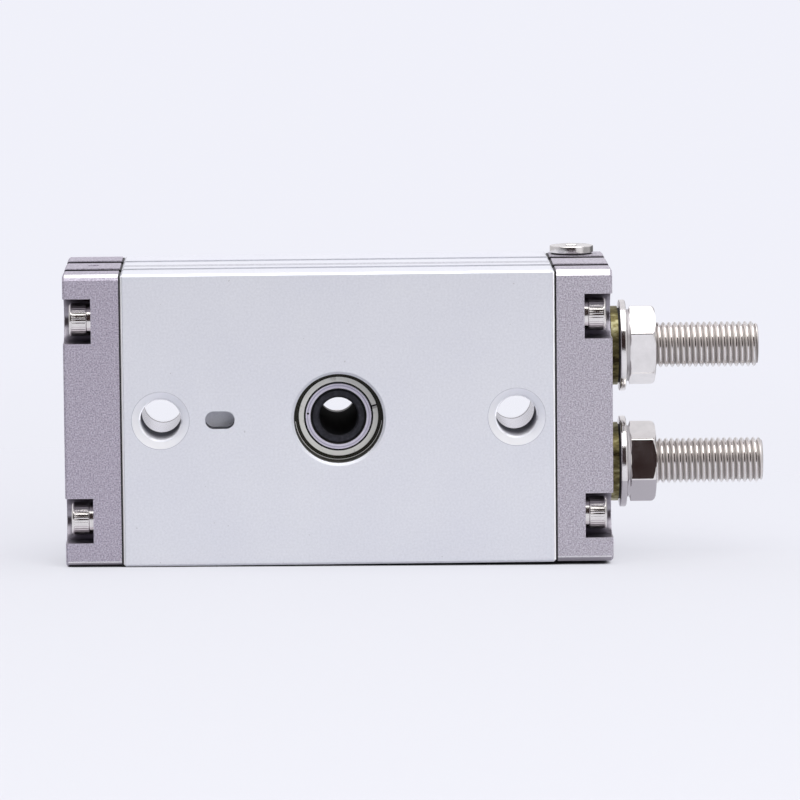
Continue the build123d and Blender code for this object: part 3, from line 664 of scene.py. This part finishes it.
def nut_metal():
    """Polished nut with a duller turned neck; the lower nut's underside carries painted shade."""
    material = polished_nickel("nut_nickel")
    tree = material.node_tree
    x, _, z = object_axes(tree)
    seat = node_box("lock_nut_upper")[0].x - skin
    neck = within(tree, x, seat + nut_flange_height, seat + nut_neck_end)
    finish_and_light_layer(tree, neck, (0.50, 0.48, 0.49), 0.7, 0.5)
    # Painted shade: the lower nut's underside is coloured darker.
    finish_and_light_layer(tree, less_than(tree, z, nut_painted_shade_below), (0.54, 0.51, 0.53), 1.0, 0.2)
    return material


def plated_washer():
    """Yellow plated steel, stained in streaks."""
    material, tree, shader = make_material("olive_zinc", (0.24, 0.195, 0.075), 1.0, 0.42)
    streaks = object_noise(tree, 480.0, 4.0, 0.65, (0.5, 1.0, 1.0))
    stained = ramp(tree, streaks, [(0.34, (0.035, 0.026, 0.012)), (0.5, (0.19, 0.165, 0.070)),
                                   (0.66, (0.43, 0.41, 0.25))])
    tree.links.new(stained, shader.inputs["Base Color"])
    rough = ramp(tree, streaks, [(0.3, grey(0.55)), (0.7, grey(0.33))])
    tree.links.new(rough, shader.inputs["Roughness"])
    bump(tree, shader, streaks, 0.00003, 0.4)
    return material


def mount_thread_painted_light():
    """Cut thread with stains, painted shade that deepens further in, and a painted highlight on its
    upper side near the mouth.
    """
    material, tree, shader = make_material("cut_thread_painted_light", (0.5, 0.5, 0.54), 0.3, 0.5)
    _, y, z = object_axes(tree)
    stain = object_noise(tree, 900.0, 4.0, 0.6)
    # Painted shade: the colour darkens with depth into the hole.
    depth = math(tree, "ADD", smooth_step(tree, y, 0.0, thread_shade_depth * MM),
                 math(tree, "MULTIPLY", stain, 0.3))
    tint = ramp(tree, depth, [(0.15, (0.80, 0.80, 0.84)), (0.6, (0.40, 0.40, 0.44)),
                              (1.0, (0.17, 0.17, 0.20))])
    tree.links.new(tint, shader.inputs["Base Color"])
    # Painted highlight: the upper thread near the mouth is coloured near white.
    upper = both(tree, more_than(tree, z, 0.0), less_than(tree, y, thread_highlight_depth))
    finish_and_light_layer(tree, upper, (0.95, 0.95, 1.0), 0.0, 0.8)
    return material


def dark_metal(name, colour, roughness):
    material, tree, shader = make_material(name, colour, 0.6, roughness)
    scuff = object_noise(tree, 1500.0, 3.0, 0.6)
    lighter = tuple(min(channel * 2.2, 1.0) for channel in colour)
    tree.links.new(ramp(tree, scuff, [(0.4, colour), (0.8, lighter)]), shader.inputs["Base Color"])
    bump(tree, shader, scuff, 0.00002, 0.4)
    return material


# Near black painted shade for the gaps beside the bearing's rings.
gap_shade_black = grey(0.006)


def bearing_ring():
    """Ground face with painted shade on its rounded edges, a faint groove and one dot."""
    material, tree, shader = make_material("bearing_inner_ring", (0.66, 0.63, 0.74), 0.5, 0.45)
    scratch = object_noise(tree, 900.0, 3.0, 0.6)
    x, _, z = object_axes(tree)
    radius = distance_about(tree, x, z)
    face = ramp(tree, scratch, [(0.3, (0.61, 0.58, 0.69)), (0.7, (0.72, 0.69, 0.80))])
    face = mix_colour(tree, within(tree, radius, *ring_groove), face, (0.44, 0.42, 0.54))
    tree.links.new(face, shader.inputs["Base Color"])
    from_dot = distance_about(tree, math(tree, "SUBTRACT", x, ring_dot[0] * MM),
                              math(tree, "SUBTRACT", z, ring_dot[1] * MM))
    # Painted shade: the rounded edges beside the gaps are coloured near black.
    edges = math(tree, "MAXIMUM", less_than(tree, radius, ring_face_inner),
                 more_than(tree, radius, ring_face_outer))
    dark = math(tree, "MAXIMUM", less_than(tree, from_dot, ring_dot_radius), edges)
    finish_and_light_layer(tree, dark, gap_shade_black, 0.0, 0.7)
    return material


def snap_ring():
    """Pale spring steel with painted shade on its inner edge and a few scuffs."""
    pale = (0.80, 0.80, 0.77)
    material, tree, shader = make_material("snap_ring_steel", pale, 0.5, 0.5)
    scuff = object_noise(tree, 700.0, 4.0, 0.7)
    scuffed = ramp(tree, scuff, [(0.3, (0.58, 0.575, 0.55)), (0.42, pale)])
    tree.links.new(scuffed, shader.inputs["Base Color"])
    x, _, z = object_axes(tree)
    # Painted shade: the inner edge is coloured near black.
    inner_edge = less_than(tree, distance_about(tree, x, z), snap_ring_face_inner)
    finish_and_light_layer(tree, inner_edge, gap_shade_black, 0.0, 0.7)
    return material


def bearing_shield():
    """Grey shield behind the snap ring; a thin dark line of painted shade shows through the ring's
    slit, and the shield inside the ring's edge is painted dark too.
    """
    material, tree, shader = make_material("bearing_shield", (0.60, 0.59, 0.58), 0.5, 0.5)
    scuff = object_noise(tree, 900.0, 3.0, 0.6)
    scuffed = ramp(tree, scuff, [(0.3, (0.56, 0.55, 0.54)), (0.7, (0.66, 0.65, 0.64))])
    tree.links.new(scuffed, shader.inputs["Base Color"])
    x, _, z = object_axes(tree)
    radius = distance_about(tree, x, z)
    turn = radians(slit_angle)
    off = math(tree, "ABSOLUTE", math(tree, "SUBTRACT", math(tree, "MULTIPLY", z, cos(turn)),
                                      math(tree, "MULTIPLY", x, sin(turn))))
    # Painted shade: black along the slit's line and inside the snap ring's edge.
    line = math(tree, "MAXIMUM", less_than(tree, off, slit_line),
                less_than(tree, radius, snap_ring_face_inner))
    finish_and_light_layer(tree, line, grey(0.004), 0.0, 0.8)
    return material


def blackened_shaft():
    """Black oxide; the bore is coloured darker than the turned end, as painted shade."""
    black = (0.022, 0.022, 0.028)
    material, tree, shader = make_material("black_oxide", black, 0.6, 0.42)
    scuff = object_noise(tree, 1500.0, 3.0, 0.6)
    scuffed = ramp(tree, scuff, [(0.4, black), (0.8, (0.048, 0.048, 0.062))])
    tree.links.new(scuffed, shader.inputs["Base Color"])
    bump(tree, shader, scuff, 0.00002, 0.4)
    x, _, z = object_axes(tree)
    # Painted shade: the hollow bore is coloured near black.
    inside = less_than(tree, distance_about(tree, x, z), hollow_radius)
    bore = finish_and_light_layer(tree, inside, (0.006, 0.006, 0.007), 0.0, 0.9)
    bore.inputs["Specular IOR Level"].default_value = 0.03
    return material


def rubber(name, colour):
    material, tree, shader = make_material(name, colour, 0.0, 0.6)
    grain = object_noise(tree, 2000.0, 2.0, 0.5)
    lighter = tuple(channel * 1.6 for channel in colour)
    tree.links.new(ramp(tree, grain, [(0.3, colour), (0.8, lighter)]), shader.inputs["Base Color"])
    bump(tree, shader, grain, 0.00003, 0.4)
    return material


anodised = anodised_aluminium()
cover_paint = cast_cover()
nickel = polished_nickel("bright_nickel")
bolt_nickel = bolt_metal()
nut_nickel = nut_metal()
screw_steel = bright_metal("screw_steel", (0.84, 0.81, 0.79), 0.17, 0.85)
olive_zinc = plated_washer()
bearing_steel = bright_metal("bearing_steel", (0.60, 0.58, 0.66), 0.35, 0.92)
# Painted shade: the bearing's outer ring is coloured near black.
outer_ring_shade = dark_metal("bearing_outer_ring", (0.020, 0.019, 0.014), 0.4)
snap_ring_steel = snap_ring()
inner_ring_steel = bearing_ring()
shield_steel = bearing_shield()
rack_steel = bright_metal("rack_steel", (0.52, 0.52, 0.54), 0.32, 0.85)
black_oxide = blackened_shaft()
cut_thread_painted_light = mount_thread_painted_light()
magnet_black = dark_metal("magnet_black", (0.05, 0.05, 0.055), 0.6)
black_rubber = rubber("black_rubber", (0.010, 0.009, 0.010))
seal_rubber = rubber("seal_rubber", (0.022, 0.022, 0.024))
pad_rubber = rubber("pad_rubber", (0.05, 0.045, 0.04))
wear_resin = rubber("wear_resin", (0.20, 0.13, 0.07))
cage_nylon = rubber("cage_nylon", (0.55, 0.48, 0.34))

finish_of_slot = {
    "anodised": anodised,
    "cover_cast": cover_paint,
    "gasket_rubber": black_rubber,
    "screw_steel": screw_steel,
    "bright_nickel": nickel,
    "pad_rubber": pad_rubber,
    "olive_zinc": olive_zinc,
    "bearing_steel": bearing_steel,
    "snap_ring_steel": snap_ring_steel,
    "cage_plastic": cage_nylon,
    "black_oxide": black_oxide,
    "rack_steel": rack_steel,
    "seal_rubber": seal_rubber,
    "wear_plastic": wear_resin,
    "magnet_black": magnet_black,
    "table_aluminium": anodised,
}

for subpart in frame["record"]["subparts"]:
    node = frame["nodes"][subpart["node"]]
    node.data.materials.clear()
    node.data.materials.append(finish_of_slot[subpart["material_slot"]])
frame["nodes"]["front_bearing_outer"].data.materials[0] = outer_ring_shade
frame["nodes"]["front_bearing_inner"].data.materials[0] = inner_ring_steel
frame["nodes"]["front_bearing_shield"].data.materials[0] = shield_steel


def dress(piece, material, body):
    piece.data.materials.append(material)
    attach(piece, body)


# Adjusting bolts with their thread

def adjusting_bolt(side, thread_shift):
    name = f"adjusting_bolt_{side}"
    low, high = node_box(name)
    centre = node_centre(name)
    length = high.x - low.x
    place = axis_place((low.x, centre.y, centre.z), (1, 0, 0))
    seat = node_box(f"lock_nut_{side}")[1].x - low.x - thread_cover
    core = thread_root - thread_core_gap
    chamfer_start = length - bolt_chamfer
    rows = [
        (pad_pocket_depth, constant(0.0)),
        (pad_pocket_depth, constant(pad_pocket_radius)),
        (0.0, constant(pad_pocket_radius)),
        (0.0, constant(bolt_radius - bolt_chamfer)),
        (bolt_chamfer, constant(bolt_radius)),
        (seat - 0.01, constant(bolt_radius)),
        (seat, constant(core)),
        (length - 0.05, constant(core)),
        (length, constant(bolt_radius - bolt_chamfer)),
        *socket_rows(length, bolt_socket, bolt_socket_depth),
    ]

    def end_chamfer(station):
        return bolt_radius - max(0.0, station - chamfer_start)

    thread = thread_surface(place, (seat, length), thread_pitch, thread_root, thread_crest,
                            end_chamfer, shift=thread_shift)
    piece = spin_mesh(f"{name}_threaded", rows, even_angles(thread_segments), place, extra=thread)
    dress(piece, bolt_nickel, "housing")
    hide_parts(name)


adjusting_bolt("upper", 0.0)
adjusting_bolt("lower", thread_shift_lower)


# Flanged lock nuts

def rounded_hexagon(apothem, corner, angle):
    """Distance to the side of a hexagon whose corners are rounded; a corner lies at angle 0."""
    offset = abs((angle + pi / 6) % (pi / 3) - pi / 6)
    middle = (apothem - corner) / cos(pi / 6)
    tangent = atan(corner * sin(pi / 6) / (middle + corner * cos(pi / 6)))
    if offset < tangent:
        return middle * cos(offset) + (corner ** 2 - (middle * sin(offset)) ** 2) ** 0.5
    return apothem / cos(pi / 6 - offset)


def smooth_max(first, second, reach):
    """Larger of two values, with a rounded change from one to the other."""
    blend = max(reach - abs(first - second), 0.0) / reach
    return max(first, second) + blend * blend * reach / 4


def nut_radius(angle, station, height, turn):
    """Flange, neck, hexagon and rounded outer edge of the nut."""
    side = rounded_hexagon(nut_flat, nut_corner_radius, angle + turn)
    edge = height - station
    if edge < nut_crown_height:
        fall = 1 - (1 - (1 - edge / nut_crown_height) ** nut_crown_power) ** (1 / nut_crown_power)
        crown = nut_flat / cos(pi / 6) - nut_crown_drop * fall
        side = -smooth_max(-side, -crown, nut_crown_blend)
    under = nut_flange_under
    over = nut_flange_over
    shoulder = nut_flange_height - over
    if station < under:
        return nut_flange - under + (under ** 2 - (under - station) ** 2) ** 0.5
    if station < shoulder:
        return nut_flange
    if station < nut_flange_height:
        return nut_flange - over + (over ** 2 - (station - shoulder) ** 2) ** 0.5
    rise = min(max((station - nut_neck_end) / nut_neck_rise + 0.5, 0.0), 1.0)
    foot = max(1 - (station - nut_flange_height) / over, 0.0)
    neck = nut_neck_radius + nut_neck_fillet * foot ** 2
    return neck + (side - neck) * rise * rise * (3 - 2 * rise)


def nut_angles(turn):
    """Directions of the nut's points, close together at the rounded corners."""
    offsets = (-1.9, -1.47, -0.9, -0.3, 0.3, 0.9, 1.47, 1.9, 6, 12, 18, 24, 30, 36, 42, 48, 54)
    return [radians(60 * corner + offset) - turn for corner in range(6) for offset in offsets]


def lock_nut(side, turn_degrees):
    name = f"lock_nut_{side}"
    low, high = node_box(name)
    centre = node_centre(name)
    height = high.x - low.x
    place = axis_place((low.x, centre.y, centre.z), (1, 0, 0))
    turn = radians(turn_degrees)
    bore = bolt_radius + nut_bore_gap
    mouth = height - nut_bore_chamfer
    # The flange and neck, the change to the hexagon, the flats and the crown
    stations = [0.0, 0.02, 0.06, 0.12, 0.4, 0.8, 0.9, 0.98, 1.04, 1.08, 1.1, 1.1, 1.16, 1.25, 1.4]
    stations += [1.58] + [1.63 + 0.04 * step for step in range(7)]
    stations += [2.0, 3.0, height - nut_crown_height - 0.1]
    stations += [height - nut_crown_height * cos(pi / 2 * step / nut_crown_steps)
                 for step in range(nut_crown_steps + 1)]
    rows = [(mouth, constant(bore)), (0.0, constant(bore))]
    for step, station in enumerate(stations):
        inner = station + (1e-6 if stations[step - 1] == station else 0.0)
        rows.append((station, lambda angle, at=inner: nut_radius(angle, at, height, turn)))
    rows.append((height, constant(bolt_radius + nut_bore_chamfer)))
    rows.append((mouth, constant(bore)))
    piece = spin_mesh(f"{name}_turned", rows, nut_angles(turn), place, sharp=turned_sharp_angle)
    dress(piece, nut_nickel, "housing")
    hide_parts(name)


lock_nut("upper", -7.6)
lock_nut("lower", 9.3)


# Round headed port plugs

def port_plug(side, direction):
    name = f"port_plug_{side}"
    low, high = node_box(name)
    centre = node_centre(name)
    outer = (high.x - low.x) / 2
    length = high.z - low.z
    inner_end = low.z if direction > 0 else high.z
    place = axis_place((centre.x, centre.y, inner_end), (0, 0, direction), (1.0, 0.0, 0.0))
    rows = [
        (0.0, constant(0.0)),
        (0.0, constant(plug_shank)),
        (plug_shank_length, constant(plug_shank)),
        (plug_shank_length, constant(outer - plug_seat_edge)),
        (plug_shank_length + plug_seat_edge, constant(outer)),
        (length - plug_rim, constant(outer)),
    ]
    for step in range(1, plug_rim_steps + 1):
        angle = pi / 2 * step / plug_rim_steps
        radius = outer - plug_rim * (1 - cos(angle))
        rows.append((length - plug_rim * (1 - sin(angle)), constant(radius)))
    rows += socket_rows(length, plug_socket, plug_socket_depth)
    piece = spin_mesh(f"{name}_turned", rows, even_angles(plug_segments), place)
    dress(piece, nickel, "housing")
    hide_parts(name)


port_plug("top", 1)
port_plug("bottom", -1)


# Thread in the mounting holes

def mount_thread(side, x):
    place = axis_place((x, 0.0, 0.0), (0, 1, 0))
    span = (mount_thread_start, mount_thread_end)
    wall = mount_thread_wall - mount_thread_sink
    points, faces = thread_surface(place, span, mount_thread_pitch, wall, mount_thread_crest,
                                   constant(wall))
    mesh = bpy.data.meshes.new(f"mount_thread_{side}")
    mesh.from_pydata(points, [], [tuple(reversed(face)) for face in faces])
    mesh.validate()
    piece = add_object(f"mount_thread_{side}", mesh)
    shade(piece, sharp_angle)
    dress(piece, cut_thread_painted_light, "housing")


mount_thread("left", -mount_middle)
mount_thread("right", mount_middle)


# Cap screws with a straight knurl

def knurl(angle):
    return screw_head_radius - knurl_depth * (0.5 - 0.5 * cos(knurl_count * angle))


def cap_screw(name, origin, direction):
    """Screw with its head's underside at the origin."""
    place = axis_place(origin, direction)
    head = screw_head_radius
    top = screw_head_height
    length = screw_length
    rows = [
        (-length, constant(0.0)),
        (-length, constant(screw_radius - screw_chamfer)),
        (-length + screw_chamfer, constant(screw_radius)),
        (0.0, constant(screw_radius)),
        (0.0, constant(head - 0.1)),
        (0.08, constant(head - 0.02)),
        (0.2, constant(head)),
        (0.26, knurl),
        (top - 0.48, knurl),
        (top - 0.44, constant(head)),
        (top - 0.32, constant(head)),
        (top - 0.2, constant(head - 0.04)),
        (top - 0.08, constant(head - 0.12)),
        (top, constant(head - 0.28)),
        *socket_rows(top, screw_socket, screw_socket_depth, screw_socket_chamfer),
    ]
    piece = spin_mesh(name, rows, even_angles(knurl_count * 6), place, sharp=turned_sharp_angle)
    dress(piece, screw_steel, "housing")
    return piece


def solid_centres(name):
    """Middle of each separate solid of a node, in millimetres."""
    mesh = frame["nodes"][name].data
    parent = list(range(len(mesh.vertices)))

    def root(index):
        while parent[index] != index:
            parent[index] = parent[parent[index]]
            index = parent[index]
        return index

    keys = {}
    for vertex in mesh.vertices:
        key = tuple(round(value * 1e6) for value in vertex.co)
        if key in keys:
            parent[root(vertex.index)] = root(keys[key])
        keys[key] = vertex.index
    for edge in mesh.edges:
        parent[root(edge.vertices[0])] = root(edge.vertices[1])
    groups = {}
    for vertex in mesh.vertices:
        groups.setdefault(root(vertex.index), []).append(vertex.co / MM)
    centres = []
    for points in groups.values():
        low = Vector([min(point[axis] for point in points) for axis in range(3)])
        high = Vector([max(point[axis] for point in points) for axis in range(3)])
        centres.append((low + high) / 2)
    return sorted(centres, key=lambda centre: (round(centre.z, 2), round(centre.y, 2)))


def screw_set(node, direction):
    """Detailed screws in place of a node's plain ones."""
    middle = (screw_head_height - screw_length) / 2
    for index, centre in enumerate(solid_centres(node)):
        origin = centre - Vector(direction) * middle
        piece = cap_screw(f"{node}_{index + 1}", origin, direction)
        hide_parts(node)


screw_set("cover_screws_left", (-1, 0, 0))
screw_set("cover_screws_right", (1, 0, 0))


# Studio, with its lengths in metres

backdrop = (0.875, 0.880, 0.955)

# The floor touches the lower left edge and takes part of the tilt that the bottom plug asks for
floor_drop = node_box("body")[0].z - node_box("port_plug_bottom")[0].z
floor_run = node_centre("port_plug_bottom").x - cad_box[0][0] / MM
floor_tilt_share = 0.375
floor_angle = atan2(floor_drop, floor_run) * floor_tilt_share
floor_size = 1.6
floor_gap = 0.00002
floor_colour = (0.55, 0.555, 0.585)
floor_fade = (0.10, 0.42)
floor_fade_shift = 0.06
contact_shadow_reach = 0.004
contact_shadow_range = (0.08, 0.42)
glow_share = 0.5
glow_behind = 0.22
glow_turn = (-0.005, 0.03)


def make_floor():
    """Pale table top, partly lit from itself; a painted contact shadow turns it black near the
    object, and it fades into the backdrop.
    """
    mesh = bpy.data.meshes.new("floor")
    signs = ((-1, -1), (1, -1), (1, 1), (-1, 1))
    corners = [(x * floor_size, y * floor_size, 0) for x, y in signs]
    mesh.from_pydata(corners, [], [(0, 1, 2, 3)])
    floor = add_object("floor", mesh)
    touch = Vector((cad_box[0][0], 0, node_box("body")[0].z * MM - floor_gap))
    floor.matrix_world = Matrix.Translation(touch) @ Matrix.Rotation(floor_angle, 4, "Y")
    material, tree, shader = make_material("pale_floor", floor_colour, 0.0, 0.8)
    shader.inputs["Specular IOR Level"].default_value = 0.15
    place = tree.nodes.new("ShaderNodeTexCoord")
    parts = tree.nodes.new("ShaderNodeSeparateXYZ")
    tree.links.new(place.outputs["Object"], parts.inputs["Vector"])

    # Painted contact shadow: ambient occlusion turns the floor's colour black near the object.
    contact = tree.nodes.new("ShaderNodeAmbientOcclusion")
    contact.inputs["Distance"].default_value = contact_shadow_reach
    open_floor = smooth_step(tree, contact.outputs["AO"], *contact_shadow_range)
    shaded = mix_colour(tree, open_floor, (0.01, 0.01, 0.012), floor_colour)
    tree.links.new(shaded, shader.inputs["Base Color"])

    glow = tree.nodes.new("ShaderNodeEmission")
    glow.inputs["Color"].default_value = (*backdrop, 1.0)
    path = tree.nodes.new("ShaderNodeLightPath")
    seen = math(tree, "MAXIMUM", path.outputs["Is Camera Ray"], path.outputs["Is Glossy Ray"])
    seen = math(tree, "MAXIMUM", seen, path.outputs["Is Transmission Ray"])
    behind = smooth_step(tree, parts.outputs["Y"], *glow_turn)
    share = math(tree, "ADD", math(tree, "MULTIPLY", behind, glow_behind), glow_share)
    lifted = mix_shaders(tree, both(tree, seen, open_floor, share), shader.outputs["BSDF"],
                         glow.outputs["Emission"])

    shift = tree.nodes.new("ShaderNodeVectorMath")
    shift.inputs[1].default_value = (0.0, floor_fade_shift, 0.0)
    tree.links.new(place.outputs["Object"], shift.inputs[0])
    length = tree.nodes.new("ShaderNodeVectorMath")
    length.operation = "LENGTH"
    tree.links.new(shift.outputs["Vector"], length.inputs[0])
    fade = smooth_step(tree, length.outputs["Value"], *floor_fade)
    clear = tree.nodes.new("ShaderNodeBsdfTransparent")
    faded = mix_shaders(tree, fade, lifted, clear.outputs["BSDF"])
    tree.links.new(faded, tree.nodes["Material Output"].inputs["Surface"])
    mesh.materials.append(material)


make_floor()


def area_light(name, place, target, size, radiance, in_reflections=True):
    """Rectangular white softbox with a set surface brightness."""
    data = bpy.data.lights.new(name, "AREA")
    data.shape = "RECTANGLE"
    data.size = size[0]
    data.size_y = size[1]
    data.energy = radiance * pi * size[0] * size[1]
    light = add_object(name, data)
    direction = Vector(target) - Vector(place)
    light.location = place
    light.rotation_euler = direction.to_track_quat("-Z", "Y").to_euler()
    light.visible_glossy = in_reflections


area_light("overhead_softbox", place=(0.05, -0.27, 0.95), target=(0.02, -0.05, 0.0),
           size=(1.5, 1.1), radiance=2.1)
area_light("front_fill", place=(0.55, -1.3, 0.75), target=(0.02, 0.0, 0.0),
           size=(1.6, 1.0), radiance=3.4, in_reflections=False)


# Brightness of the room at eye level, by the direction in degrees right of the camera's side
room_tint = (1.0, 0.985, 1.02)
dark_tint = (1.35, 0.80, 0.77)
dark_limit = 0.1
room_round = ((-180, 0.84), (-165, 0.60), (-105, 0.60), (-78, 0.55), (-62, 0.26), (-34, 0.14),
              (-27, 0.022), (19, 0.022), (25, 0.80), (57, 0.80), (66, 0.40), (108, 0.45),
              (122, 0.16), (160, 0.16), (174, 0.84), (180, 0.84))
ceiling_front = (0.40, 0.39, 0.39)
ceiling_back = (0.84, 0.83, 0.87)
ground_back = (0.78, 0.78, 0.82)

# Where the parts of the room meet, by the Y or Z of the unit direction
back_turn = (-0.35, 0.25)
back_rise = (0.12, 0.40)
ceiling_rise = (0.62, 0.80)
ground_fall = (0.0, -0.03)


def make_world():
    """Plain backdrop for the camera; metal shows a room with a dark front and lighter sides."""
    world = bpy.data.worlds.new("studio")
    bpy.context.scene.world = world
    world.use_nodes = True
    tree = world.node_tree
    background = tree.nodes["Background"]
    place = tree.nodes.new("ShaderNodeTexCoord")
    parts = tree.nodes.new("ShaderNodeSeparateXYZ")
    tree.links.new(place.outputs["Generated"], parts.inputs["Vector"])
    x, y, z = parts.outputs
    turn = math(tree, "ARCTAN2", x, math(tree, "MULTIPLY", y, -1.0))
    share = math(tree, "ADD", math(tree, "DIVIDE", turn, 2 * pi), 0.5)
    stops = []
    for angle, value in room_round:
        tint = room_tint if value > dark_limit else dark_tint
        stops.append((0.5 + angle / 360, tuple(value * part for part in tint)))
    level = ramp(tree, share, stops)
    behind = both(tree, smooth_step(tree, y, *back_turn), smooth_step(tree, z, *back_rise))
    overhead = smooth_step(tree, z, *ceiling_rise)
    ground = smooth_step(tree, z, *ground_fall)
    front = mix_colour(tree, overhead, level, ceiling_front)
    back = mix_colour(tree, ground, ceiling_back, ground_back)
    tree.links.new(mix_colour(tree, behind, front, back), background.inputs["Color"])
    background.inputs["Strength"].default_value = 1.0
    seen = tree.nodes.new("ShaderNodeBackground")
    seen.inputs["Color"].default_value = (*backdrop, 1.0)
    seen.inputs["Strength"].default_value = 1.0
    path = tree.nodes.new("ShaderNodeLightPath")
    shown = mix_shaders(tree, path.outputs["Is Camera Ray"], background.outputs["Background"],
                        seen.outputs["Background"])
    tree.links.new(shown, tree.nodes["World Output"].inputs["Surface"])


make_world()


# Camera at the photograph's viewpoint

camera_place = Vector((-7.53, -1024.2, 123.05)) * MM
camera_yaw = radians(1.0)
camera_pitch = radians(6.68)
camera_roll = radians(-0.533)
focal_pixels = 6128.8
photo_pixels = 800.0


def make_camera():
    forward = Vector((sin(camera_yaw) * cos(camera_pitch), cos(camera_yaw) * cos(camera_pitch),
                      -sin(camera_pitch)))
    level = Vector((cos(camera_yaw), -sin(camera_yaw), 0.0))
    upward = level.cross(forward)
    right = level * cos(camera_roll) + upward * sin(camera_roll)
    up = -level * sin(camera_roll) + upward * cos(camera_roll)
    data = bpy.data.cameras.new("camera")
    data.sensor_width = 36.0
    data.lens = focal_pixels / photo_pixels * data.sensor_width
    data.clip_start = 0.05
    data.clip_end = 20.0
    camera = add_object("camera", data)
    turn = Matrix((right, up, -forward)).transposed().to_4x4()
    camera.matrix_world = Matrix.Translation(camera_place) @ turn
    bpy.context.scene.camera = camera


make_camera()
bpy.context.scene.view_settings.view_transform = "Standard"
